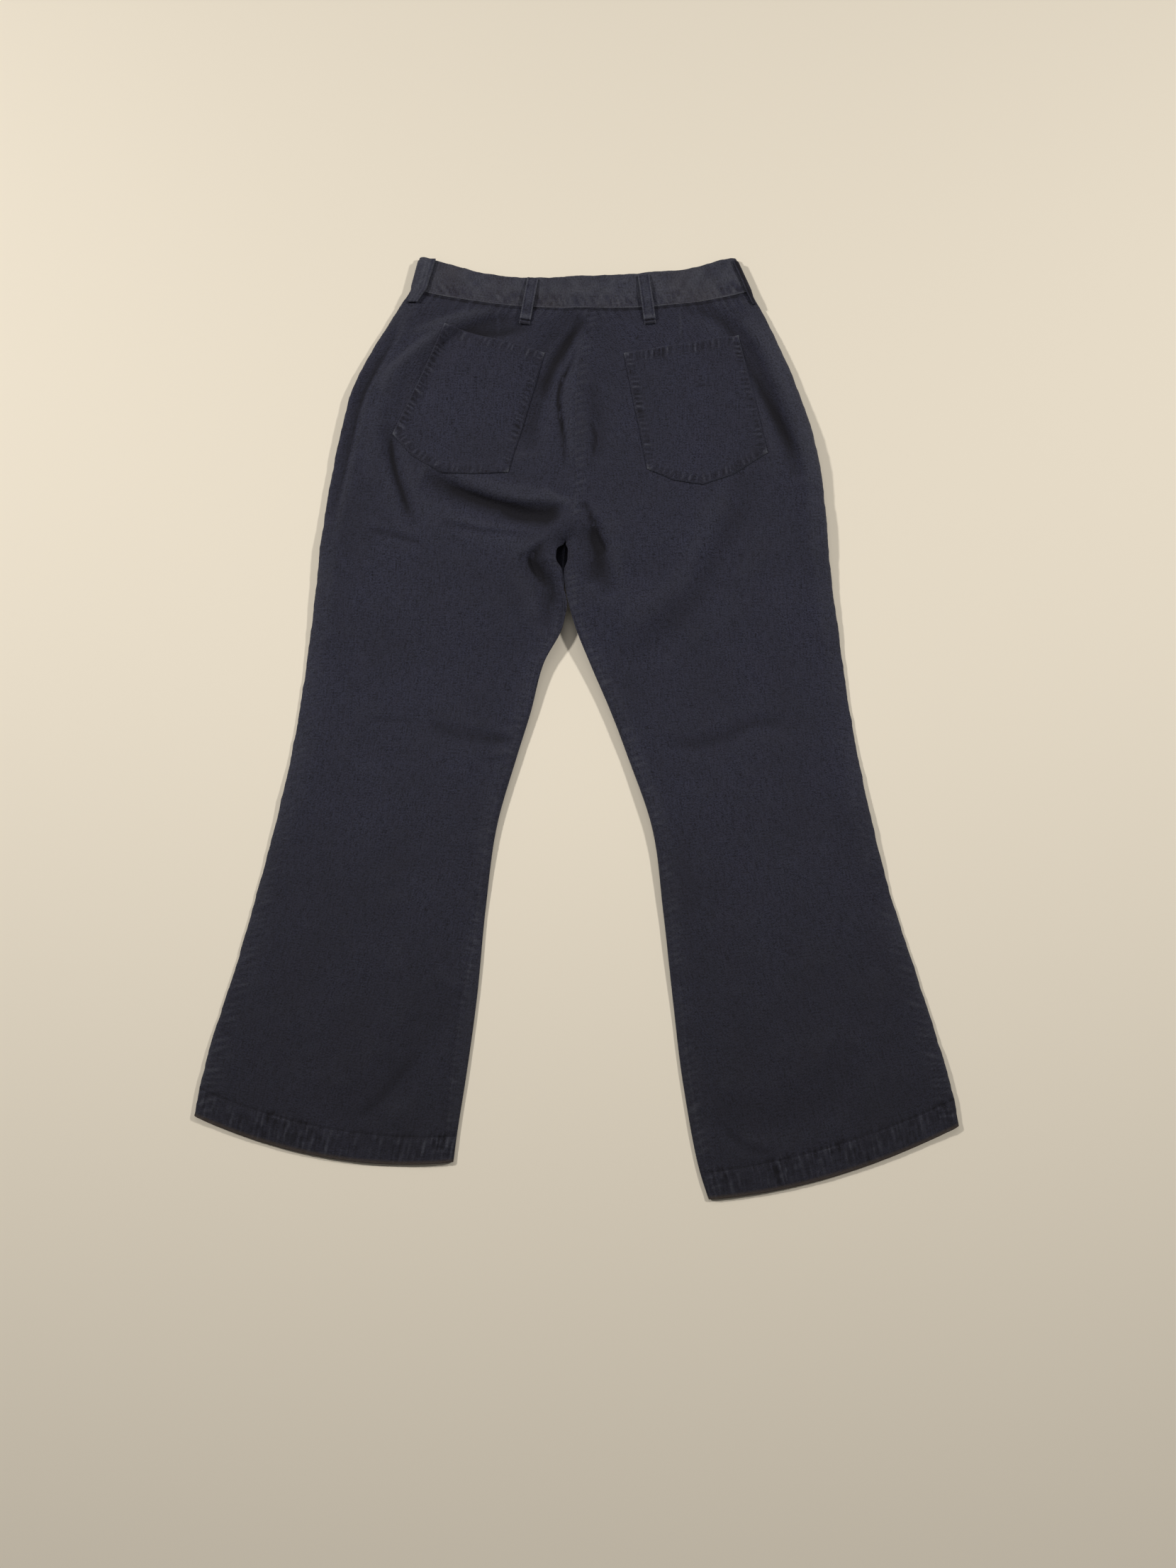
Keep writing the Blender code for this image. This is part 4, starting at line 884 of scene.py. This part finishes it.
def add_pocket(name, pocket, material):
    """A patch pocket: a grid spread between its opening and its rounded foot, laid on the panel."""
    across, down = odd_count(spread_shares(92, 0.011)), odd_count(spread_shares(100, 0.010))[:, None, None]
    edges = []
    for corners in (pocket.opening, pocket.foot):
        corners = np.array(corners, float)
        at = lengths_along(corners)
        edges.append(np.stack([np.interp(across, at / at[-1], corners[:, k]) for k in (0, 1)], -1))
    x, y = np.moveaxis(edges[0] + down * (edges[1] - edges[0]), -1, 0)
    lower, upper, relief = pocket_faces(pocket, x, y)
    faces = np.stack([x, y, upper], -1), np.stack([x, y, lower], -1)
    uv = x + WEAVE_AT["pocket"], -y
    return add_cloth("pocket_patch_" + name, *faces, uv, relief, material, "pocket_" + name)


def loop_relief(across, width, along, seed):
    """A belt loop's strip: rounded edges and two stitched grooves along them."""
    edge = width / 2 - np.abs(across)
    height = -0.7 * (1 - roll_over(edge, 1.4)) - 0.25 * bell(edge - 2.6, 0.7)
    height = height + 0.10 * hills(across, along, 5, seed)
    # Worn edges are paler, and the stitched grooves are painted darker, as shade
    wear = 0.40 * bell(edge - 0.4, 0.9) - 0.22 * bell(edge - 2.7, 0.9) + 0.16
    return height, wear + 0.12 * hills(along, across, 6, seed + 1)


def smoothed(values, reach, how):
    """The greatest value or the mean, within a number of steps of each point of a line."""
    padded = np.pad(values, reach, mode="edge")
    return how([padded[k : k + len(values)] for k in range(2 * reach + 1)], axis=0)


def add_back_loop(name, loop, material):
    """A belt loop over the band: bowed between its sewn ends, folded under above its bar of stitches."""
    share = np.linspace(0, 1, 71)[:, None]
    run = np.array(loop.bottom, float) - loop.top
    long = np.hypot(*run)
    across = np.linspace(-0.5, 0.5, 19) * loop.width
    sideways = np.array([-run[1], run[0]]) / long
    x = loop.top[0] + run[0] * share + sideways[0] * across
    y = loop.top[1] + run[1] * share + sideways[1] * across
    ground = smoothed(garment_height(x, y).max(axis=1), 5, np.max)
    ground = smoothed(ground, 4, np.mean)[:, None]
    down = share * long
    fold = bell(long - down - 8.0, 3.2)
    bow = (LOOP_ARCH + 0.6) * np.sin(np.pi * np.clip(share * 1.12, 0, 1)) + 1.1 * fold
    bar = ramp(long - down, 5.6, 4.6)
    height, wear = loop_relief(across, loop.width, down, loop.seed)
    ends = np.clip(roll_over(np.minimum(down, long - down) + 0.2, 1.0), 0.3, 1)
    thick = LOOP_WALL * (1 - 0.35 * bar) * ends
    inner_z = ground + GAP + bow * (1 - bar)
    outer = np.stack([x, y, inner_z + thick + height], -1)
    inner = np.stack([x, y, inner_z + 0 * x], -1)
    # The fold's crown is paler with wear; the band below it is painted dark as the folded end's shadow
    wear = wear + 0.3 * fold - 0.8 * bell(long - down - 5.0, 1.0)
    uv = across + WEAVE_AT["back_loop"], down
    return add_cloth(name + "_strip", outer, inner, uv, Relief(height, wear, 0 * wear), material, name)


def side_edge(side, y):
    """The x of the garment's side fold at y, over the band and the top of the panel."""
    leg = LEFT_SECTIONS if side < 0 else RIGHT_SECTIONS
    top = (BAND_TOP_X[0], BAND_TOP_Y[0]) if side < 0 else (BAND_TOP_X[-1], BAND_TOP_Y[-1])
    edge_y = np.array([leg[2].outer_y, leg[1].outer_y, leg[0].outer_y, top[1]])
    edge_x = np.array([leg[2].outer_x, leg[1].outer_x, leg[0].outer_x, top[0]])
    return np.interp(y, edge_y, edge_x)


def add_side_loop(name, loop, material):
    """A belt loop over the side fold: the fold's own section, moved out, from the back to the front."""
    y = np.linspace(loop.top_y, loop.bottom_y, 61)[:, None]
    level = LEFT_SECTIONS[0].outer_height + EDGE_PUFF + BAND_PROUD + 0.5
    reach = np.linspace(loop.top_reach, loop.bottom_reach, 61)[:, None]
    flat = np.linspace(1, 0, 9)[:-1]
    last = np.radians(-50 + 125 * ramp(loop.top_y - y, 8, loop.top_y - loop.bottom_y))
    turn = np.pi / 2 - (np.pi / 2 - last) * np.r_[np.zeros(8), np.linspace(0, 1, 15)]
    beyond = np.r_[flat, np.zeros(15)]
    rounded = np.minimum(BACK_ROLL, 0.8 * reach)
    roll = np.where(turn >= 0, rounded, FRONT_ROLL)
    rise = np.where(turn >= 0, level - SEAM_HEIGHT, SEAM_HEIGHT)
    inset = roll * (1 - np.cos(turn)) + beyond * (reach - rounded)
    x = side_edge(loop.side, y) - loop.side * inset
    z = SEAM_HEIGHT + rise * np.sin(turn) + 0 * x
    outward = np.stack([loop.side * np.cos(turn), 0 * turn, np.sin(turn)], -1)
    outward[..., 0] *= 0.6
    surface = np.stack([x, y + 0 * x, z], -1)
    width = reach + 8
    across = width / 2 - lengths_along(surface[30])
    height, wear = loop_relief(np.maximum(across, 3.5 - width / 2), width, y, loop.seed)
    stripes = bell(across - width / 2 + 5, 0.9) + bell(across - width / 2 + 10, 1.1)
    # The right loop is painted darker, as shade; the left one is paler, with worn stripes along its stitching
    wear = wear + (0.12 + 0.25 * stripes if loop.side < 0 else -0.45)
    ends = np.clip(roll_over(np.minimum(loop.top_y - y, y - loop.bottom_y) + 0.2, 1.0), 0.3, 1)
    thick = LOOP_WALL * ends + height * 0.6
    outer = surface + outward * (GAP + thick)[..., None]
    outer[..., 2] = np.maximum(outer[..., 2], 0.1)
    uv = across + WEAVE_AT["side_loop"], y
    relief = Relief(height, wear + 0 * x, 0 * x)
    return add_cloth(name + "_strip", outer, surface + outward * GAP, uv, relief, material, name)


def add_fly_facing(material):
    """The strip behind the fly, inside the front: straight, with its foot curved in to the seam."""
    share = np.linspace(0, 1, 61)[:, None]
    across = np.linspace(0, 1, 17)
    curved = np.clip((share - 0.7) / 0.3, 0, 0.93)
    x = FLY_LEFT + FLY_WIDTH * np.sqrt(1 - curved**2) * across
    y = FLY_TOP + (FLY_FOOT - FLY_TOP) * share + 0 * x
    ground = lift_at(x, y) + WALL + PATCH_CLEARANCE + 0.3
    inner = np.stack([x, y, ground], -1)
    uv, relief = (x + WEAVE_AT["fly"], -y), Relief(0 * x, 0 * x, 0 * x)
    return add_cloth("fly_facing_cloth", inner + [0, 0, 1.0], inner, uv, relief, material, "fly_facing")


def add_button(material):
    """A metal waist button: a profile of radius and height turned round, its rim raised, its face dished."""
    lower = [(0, 0.45), (3.0, 0.45), (5.6, 0.5), (6.2, 0.15), (7.6, 0.05), (8.2, 0.3), (BUTTON_RADIUS, 0.9)]
    upper = [(8.2, 1.5), (7.0, BUTTON_THICKNESS - 0.15), (5.0, BUTTON_THICKNESS), (0, BUTTON_THICKNESS)]
    profile = np.array(lower + upper)
    turn = np.linspace(0, 2 * np.pi, 73)[:-1]
    ring = np.stack([np.cos(turn), np.sin(turn)], -1)
    middle = profile[1:-1]
    points = np.concatenate([middle[:, None, :1] * ring, np.repeat(middle[:, None, 1:], len(turn), 1)], -1)
    poles = [(0, 0, profile[0, 1]), (0, 0, profile[-1, 1])]
    points = np.concatenate([points.reshape(-1, 3), poles]) + [BUTTON_X, BUTTON_Y, 0]
    index = np.arange(len(middle) * len(turn)).reshape(len(middle), len(turn))
    after = np.roll(index, -1, axis=1)
    quads = np.stack([index[:-1], after[:-1], after[1:], index[1:]], -1).reshape(-1, 4).tolist()
    low, high = len(points) - 2, len(points) - 1
    caps = [(low, b, a) for a, b in zip(index[0], after[0])]
    caps += [(high, a, b) for a, b in zip(index[-1], after[-1])]
    mesh = bpy.data.meshes.new("waist_button_metal")
    mesh.from_pydata((points * MM).tolist(), [], quads + caps)
    mesh.shade_smooth()
    return add_piece("waist_button_metal", mesh, "button_metal", material, "waist_button")


def stitches(line, pitch=STITCH_PITCH, long=STITCH_LONG, wide=THREAD_WIDE):
    """Stitches along a line of points: each a spindle of two five-sided rings and two tips."""
    at = lengths_along(line)
    starts = np.arange(pitch / 2, at[-1] - long, pitch)
    stations = starts[:, None] + long * np.array([0, 0.22, 0.78, 1.0])
    centre = np.stack([np.interp(stations, at, line[:, k]) for k in range(3)], -1)
    ahead = centre[:, -1] - centre[:, 0]
    ahead /= np.linalg.norm(ahead, axis=-1, keepdims=True)
    sideways = np.cross(ahead, [0, 0, 1.0])
    turn = 2 * np.pi * np.arange(5) / 5
    ring = sideways[:, None, None] * (wide / 2 * np.cos(turn))[:, None]
    ring = ring + np.array([0, 0, 1.0]) * (THREAD_HIGH * np.sin(turn))[:, None]
    rings = centre[:, 1:3, None] + ring
    tips = centre[:, [0, 3]] - [0, 0, 0.2]
    return np.concatenate([rings.reshape(len(starts), 10, 3), tips], 1)


def add_stitches(name, lines, material, **size):
    """All the stitches of some lines, as one mesh."""
    spindles = np.concatenate([stitches(line, **size) for line in lines])
    ring = np.arange(5)
    after = (ring + 1) % 5
    quads = np.stack([ring, after, after + 5, ring + 5], -1)
    start = np.stack([np.full(5, 10), after, ring], -1)
    finish = np.stack([np.full(5, 11), ring + 5, after + 5], -1)
    base = 12 * np.arange(len(spindles))[:, None, None]
    quads = (quads + base).reshape(-1, 4)
    tips = (np.concatenate([start, finish]) + base).reshape(-1, 3)
    mesh = bpy.data.meshes.new(name)
    points = spindles.reshape(-1, 3) * MM
    mesh.from_pydata(points.tolist(), [], quads.tolist() + tips.tolist())
    mesh.shade_smooth()
    return add_piece(name, mesh, "thread", material)


def panel_line(leg, row, share):
    """A line of points on a back panel, just above the cloth."""
    spot = leg.spot(row, share)
    return np.stack([spot.x, spot.y, back_height(leg, spot).height + STITCH_ABOVE], -1)


def add_panel_stitches(material):
    """Stitches across the hems, down the inseams and on both sides of the felled seam of the seat."""
    lines = []
    for leg in LEGS.values():
        row = np.full(260, leg.hem + HEM_STITCH)
        length = width_of(leg.read(row))
        lines.append(panel_line(leg, row, (4 + (length - 8) * np.linspace(0, 1, len(row))) / length))
        row = np.arange(leg.fork + 30, leg.end - 2, 2.0)
        lines.append(panel_line(leg, row, 1 - (inseam_distance(leg, row) + 1.2) / width_of(leg.read(row))))
    right = LEGS["right"]
    row = np.arange(2, right.fork - 8, 2.0)
    for from_seam in (FELL_STITCH, FELL_FAR_STITCH):
        lines.append(panel_line(right, row, 1 - from_seam / width_of(right.read(row))))
    return add_stitches("stitching_of_panels", lines, material)


def pocket_line(pocket, inset):
    """The x and y of a line inside a pocket's outline: each side moved in, without the opening's."""
    corners = np.array(pocket.opening[:1] + pocket.foot + pocket.opening[1:], float)
    middle = corners.mean(0)
    run = np.diff(corners, axis=0)
    normal = np.stack([-run[:, 1], run[:, 0]], -1) / np.hypot(*run.T)[:, None]
    normal *= np.sign(((middle - corners[:-1]) * normal).sum(1))[:, None]
    starts, ends = corners[:-1] + normal * inset, corners[1:] + normal * inset
    points = [starts[0]]
    for k in range(len(run) - 1):
        a, b = np.stack([run[k], -run[k + 1]], -1), starts[k + 1] - starts[k]
        points.append(starts[k] + run[k] * np.linalg.solve(a, b)[0])
    points.append(ends[-1])
    points = np.array(points)
    at = lengths_along(points)
    query = np.arange(3, at[-1] - 3, 1.5)
    return np.interp(query, at, points[:, 0]), np.interp(query, at, points[:, 1])


def add_pocket_stitches(material):
    """A line of stitches round each pocket's foot and one along its opening's hem."""
    lines = []
    for pocket in POCKETS.values():
        start, end = np.array(pocket.opening, float)
        share = np.linspace(0.03, 0.97, 90)
        below = start[0] + (end - start)[0] * share, start[1] - OPENING_STITCH + (end - start)[1] * share
        for x, y in (pocket_line(pocket, POCKET_STITCH), below):
            lines.append(np.stack([x, y, pocket_faces(pocket, x, y)[1] + STITCH_ABOVE], -1))
    return add_stitches("stitching_of_pockets", lines, material)


def add_band_stitches(material):
    """The line of stitches along the band's lower edge."""
    x = np.linspace(LEFT_SECTIONS[0].outer_x + 8, RIGHT_SECTIONS[0].outer_x - 8, 380)
    seam_y, height = waist_seam(x)
    height = height + band_relief(x, BAND_STITCH, BAND_REST).height + STITCH_ABOVE
    return add_stitches("stitching_of_waistband", [np.stack([x, seam_y + BAND_STITCH, height], -1)], material)


def add_loop_bars(material):
    """Bars of close stitches, two across the lower end of each back belt loop."""
    lines = []
    for loop in BACK_LOOPS.values():
        run = np.array(loop.bottom, float) - loop.top
        ahead = run / np.hypot(*run)
        sideways = np.array([-ahead[1], ahead[0]])
        across = np.linspace(-0.5, 0.5, 30) * (loop.width + 1)
        for back in (1.2, 2.4):
            x = loop.bottom[0] - ahead[0] * back + sideways[0] * across
            y = loop.bottom[1] - ahead[1] * back + sideways[1] * across
            z = np.full(30, garment_height(x, y).max() + GAP + LOOP_WALL)
            lines.append(np.stack([x, y, z], -1))
    return add_stitches("bars_of_belt_loops", lines, material, pitch=1.6, long=1.9, wide=1.1)


def linear(hex_colour):
    """An sRGB hex colour as linear red, green, blue and alpha."""
    share = np.array([int(hex_colour[k : k + 2], 16) for k in (1, 3, 5)]) / 255
    low, high = share / 12.92, ((share + 0.055) / 1.055) ** 2.4
    return (*np.where(share <= 0.04045, low, high).tolist(), 1.0)


def node(tree, kind, inputs=None, **settings):
    """Adds a shader node with its settings. An input is a value, or the socket that it is linked from."""
    made = tree.nodes.new("ShaderNode" + kind)
    for name, value in settings.items():
        setattr(made, name, value)
    for key, value in (inputs or {}).items():
        if isinstance(value, bpy.types.NodeSocket):
            tree.links.new(value, made.inputs[key])
        else:
            made.inputs[key].default_value = value
    return made


def new_material(name, values):
    """A material, its nodes and its shader, with values set on the shader's own sockets."""
    material = bpy.data.materials.new(name)
    material.use_nodes = True
    shader = material.node_tree.nodes["Principled BSDF"]
    for key, value in values.items():
        shader.inputs[key].default_value = value
    return material, material.node_tree, shader


def washed_denim():
    """Washed indigo denim, a 3 by 1 cotton twill: dark navy warp over pale weft.

    Real warp threads lie about 0.4 mm apart and twill lines about 1.4 mm, too fine for the render. The
    slubs and the grain are drawn about 1.8 mm wide and the twill lines 1.9 mm apart, so that they show.
    One attribute makes the worn crowns of seams paler, paints a highlight along the legs' edges and paints
    shade into hollows, creases and the lines under raised edges. The other browns the hems' lower edges
    and tints the waistband. The cloth is also painted darker towards the hems, as shade.
    """
    values = {"Roughness": 0.88, "Specular IOR Level": 0.22, "Sheen Weight": 0.07, "Sheen Roughness": 0.45}
    values["Sheen Tint"] = linear("#b2b6cc")
    material, tree, shader = new_material("washed_navy_denim", values)
    uv = node(tree, "UVMap", uv_map="cloth").outputs["UV"]

    # Each uneven pattern of the cloth: its size across and along the warp, in millimetres, and its detail
    patterns = dict(slubs=(1.8, 16, 2.0), picks=(9, 1.8, 2.0), grain=(1.9, 1.9, 1.0), mottle=(4.5, 6.0, 3.0))
    patterns.update(blotches=(75, 110, 3.0), fade=(16, 26, 3.0), crinkle=(5.5, 8, 3.0))
    noise = {}
    for name, (across, along, detail) in patterns.items():
        inputs = {"Vector": uv, "Scale": (1000 / across, 1000 / along, 1)}
        inputs = {"Vector": node(tree, "Mapping", inputs).outputs["Vector"], "Scale": 1.0, "Detail": detail}
        noise[name] = node(tree, "TexNoise", inputs | {"Roughness": 0.55}).outputs["Fac"]

    # The threads' height: the twill's lines, then how much each pattern adds
    turned = node(tree, "Mapping", {"Vector": uv, "Rotation": (0, 0, np.radians(62))}).outputs["Vector"]
    twill_apart = 1.9
    waves = {"Vector": turned, "Scale": 1000 / twill_apart / np.pi, "Distortion": 1.2, "Detail": 1.0}
    twill = node(tree, "TexWave", waves, wave_type="BANDS", bands_direction="X").outputs["Fac"]
    thread = node(tree, "MapRange", {"Value": twill, "To Max": 0.3}).outputs["Result"]
    for name, share in (("slubs", 0.8), ("picks", 0.6), ("grain", 1.5)):
        inputs = {"Value": noise[name], "From Min": 0.3, "From Max": 0.7, "To Max": share}
        inputs = {0: thread, 1: node(tree, "MapRange", inputs).outputs["Result"]}
        thread = node(tree, "Math", inputs, operation="ADD").outputs[0]

    # Worn crowns, and the painted highlight along the legs' edges, are paler, and uneven by the grain
    wear = node(tree, "Attribute", attribute_name="wear").outputs["Fac"]
    grime = node(tree, "Attribute", attribute_name="grime").outputs["Fac"]
    # The height up the leg, for the painted shade that darkens the cloth towards the hems
    y_for_painted_shade = node(tree, "SeparateXYZ", {"Vector": node(tree, "TexCoord").outputs["Object"]}).outputs["Y"]
    inputs = {"Value": noise["grain"], "From Min": 0.2, "From Max": 0.8, "To Min": 0.55, "To Max": 1.25}
    inputs = {1: node(tree, "MapRange", inputs).outputs["Result"]}
    inputs[0] = node(tree, "MapRange", {"Value": wear, "From Max": 1.1}).outputs["Result"]
    paler_by_wear_and_highlight = node(tree, "Math", inputs, operation="MULTIPLY").outputs[0]

    # Each layer of colour: its pattern, where it starts and ends, how much it covers, and its colour
    layers = (
        (thread, 0.75, 2.25, 1.0, "#2f3244"),
        (noise["mottle"], 0.35, 0.7, 0.5, "#303241"),
        (noise["blotches"], 0.35, 0.7, 0.35, "#202129"),
        (noise["fade"], 0.4, 0.75, 0.35, "#2b2c39"),
        # Painted shade: the cloth darkens towards the hems, where less light falls
        (y_for_painted_shade, 0.0, -0.45, 0.45, "#1b1b1f"),
        # Painted shade in hollows, creases and under raised edges, and the darker dye in the hollows of
        # puckers
        (wear, -0.02, -0.42, 0.85, "#0b0b11"),
        # Paler with wear, and with the painted highlight along the legs' edges
        (paler_by_wear_and_highlight, 0.0, 1.0, 1.0, "#565a64"),
        (grime, 0.0, 1.0, 0.75, "#453d33"),
    )
    base = linear("#0e0e17")
    for pattern, start, end, cover, colour in layers:
        inputs = {"Value": pattern, "From Min": start, "From Max": end, "To Max": cover}
        share = node(tree, "MapRange", inputs).outputs["Result"]
        inputs = {"Factor": share, "A": base, "B": linear(colour)}
        base = node(tree, "Mix", inputs, data_type="RGBA").outputs["Result"]
    tree.links.new(base, shader.inputs["Base Color"])
    weave = node(tree, "Bump", {"Height": thread, "Strength": 0.55, "Distance": 0.00028}).outputs[0]
    inputs = {"Height": noise["crinkle"], "Strength": 0.5, "Distance": 0.0007, "Normal": weave}
    tree.links.new(node(tree, "Bump", inputs).outputs[0], shader.inputs["Normal"])
    return material


def cotton_thread():
    """Faded cotton sewing thread: matt, a little paler than the cloth, its tone uneven from stitch to stitch.

    It is spun and twisted. The plies are too fine to show and aren't drawn.
    """
    values = {"Roughness": 0.8, "Specular IOR Level": 0.25}
    material, tree, shader = new_material("faded_cotton_thread", values)
    place = node(tree, "TexCoord").outputs["Object"]
    tone_long = 1.11
    inputs = {"Vector": place, "Scale": 1000 / tone_long, "Detail": 1.0}
    tone = node(tree, "TexNoise", inputs).outputs["Fac"]
    inputs = {"Factor": tone, "A": linear("#1c1d29"), "B": linear("#424350")}
    colour = node(tree, "Mix", inputs, data_type="RGBA").outputs["Result"]
    tree.links.new(colour, shader.inputs["Base Color"])
    return material


def dull_brass():
    """Stamped brass, tumbled and darkened by wear: soft, uneven gloss."""
    material, tree, shader = new_material("dull_brass", {"Metallic": 1.0})
    place = node(tree, "TexCoord").outputs["Object"]
    stain_wide = 2.4
    inputs = {"Vector": place, "Scale": 1000 / stain_wide, "Detail": 4.0}
    tarnish = node(tree, "TexNoise", inputs).outputs["Fac"]
    inputs = {"Factor": tarnish, "A": linear("#7a6a48"), "B": linear("#a8977a")}
    colour = node(tree, "Mix", inputs, data_type="RGBA").outputs["Result"]
    tree.links.new(colour, shader.inputs["Base Color"])
    rough = node(tree, "MapRange", {"Value": tarnish, "To Min": 0.28, "To Max": 0.5}).outputs["Result"]
    tree.links.new(rough, shader.inputs["Roughness"])
    return material


def add_floor():
    """A plain pale floor."""
    values = {"Base Color": linear("#e9e5d7"), "Roughness": 0.9, "Specular IOR Level": 0.1}
    material = new_material("pale_floor", values)[0]
    mesh = bpy.data.meshes.new("floor")
    corners = [(x * FLOOR_REACH, y * FLOOR_REACH, 0) for x, y in ((-1, -1), (1, -1), (1, 1), (-1, 1))]
    mesh.from_pydata(corners, [], [(0, 1, 2, 3)])
    mesh.materials.append(material)
    new_object("floor", mesh)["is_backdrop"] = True


def add_lights():
    """A lamp at each side, a soft window beyond the waist, and the room's own faint light."""
    for name, (place, aim, power, width, height) in LAMPS.items():
        lamp = bpy.data.lights.new(name, "AREA")
        lamp.shape = "RECTANGLE"
        lamp.energy, lamp.size, lamp.size_y, lamp.color = power, width, height, LAMP_COLOUR
        lamp.spread = np.pi if name == "window" else LAMP_SPREAD
        holder = new_object(name, lamp)
        holder.location = place
        holder.rotation_euler = (Vector(aim) - Vector(place)).to_track_quat("-Z", "Y").to_euler()
    world = bpy.data.worlds.new("pale_room")
    world.use_nodes = True
    world.node_tree.nodes["Background"].inputs["Color"].default_value = ROOM_COLOUR
    world.node_tree.nodes["Background"].inputs["Strength"].default_value = ROOM_LIGHT
    bpy.context.scene.world = world
    bpy.context.scene.view_settings.view_transform = "Standard"


def add_camera():
    """A camera nearly overhead, tilted towards the waist."""
    data = bpy.data.cameras.new("camera")
    data.sensor_width, data.lens = CAMERA_SENSOR, CAMERA_LENS
    camera = new_object("camera", data)
    camera.location, camera.rotation_euler = CAMERA_PLACE, (CAMERA_TILT, 0, 0)
    bpy.context.scene.camera = camera


def main():
    denim, thread, brass = washed_denim(), cotton_thread(), dull_brass()
    cloths = [add_back_panel(leg, denim) for leg in LEGS.values()]
    cloths += [add_front_panel(leg, denim) for leg in FRONT_LEGS]
    cloths.append(add_waistband(denim))
    cloths += [add_pocket(name, pocket, denim) for name, pocket in POCKETS.items()]
    cloths += [add_back_loop(name, loop, denim) for name, loop in BACK_LOOPS.items()]
    cloths += [add_side_loop(name, loop, denim) for name, loop in SIDE_LOOPS.items()]
    cloths.append(add_fly_facing(denim))
    add_button(brass)
    add_panel_stitches(thread)
    add_pocket_stitches(thread)
    add_band_stitches(thread)
    add_loop_bars(thread)
    add_floor()
    add_lights()
    add_camera()
    boxes = {"cad": CAD_BOX, "visual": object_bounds()}
    boxes = {name: [list(map(float, corner)) for corner in box] for name, box in boxes.items()}


main()
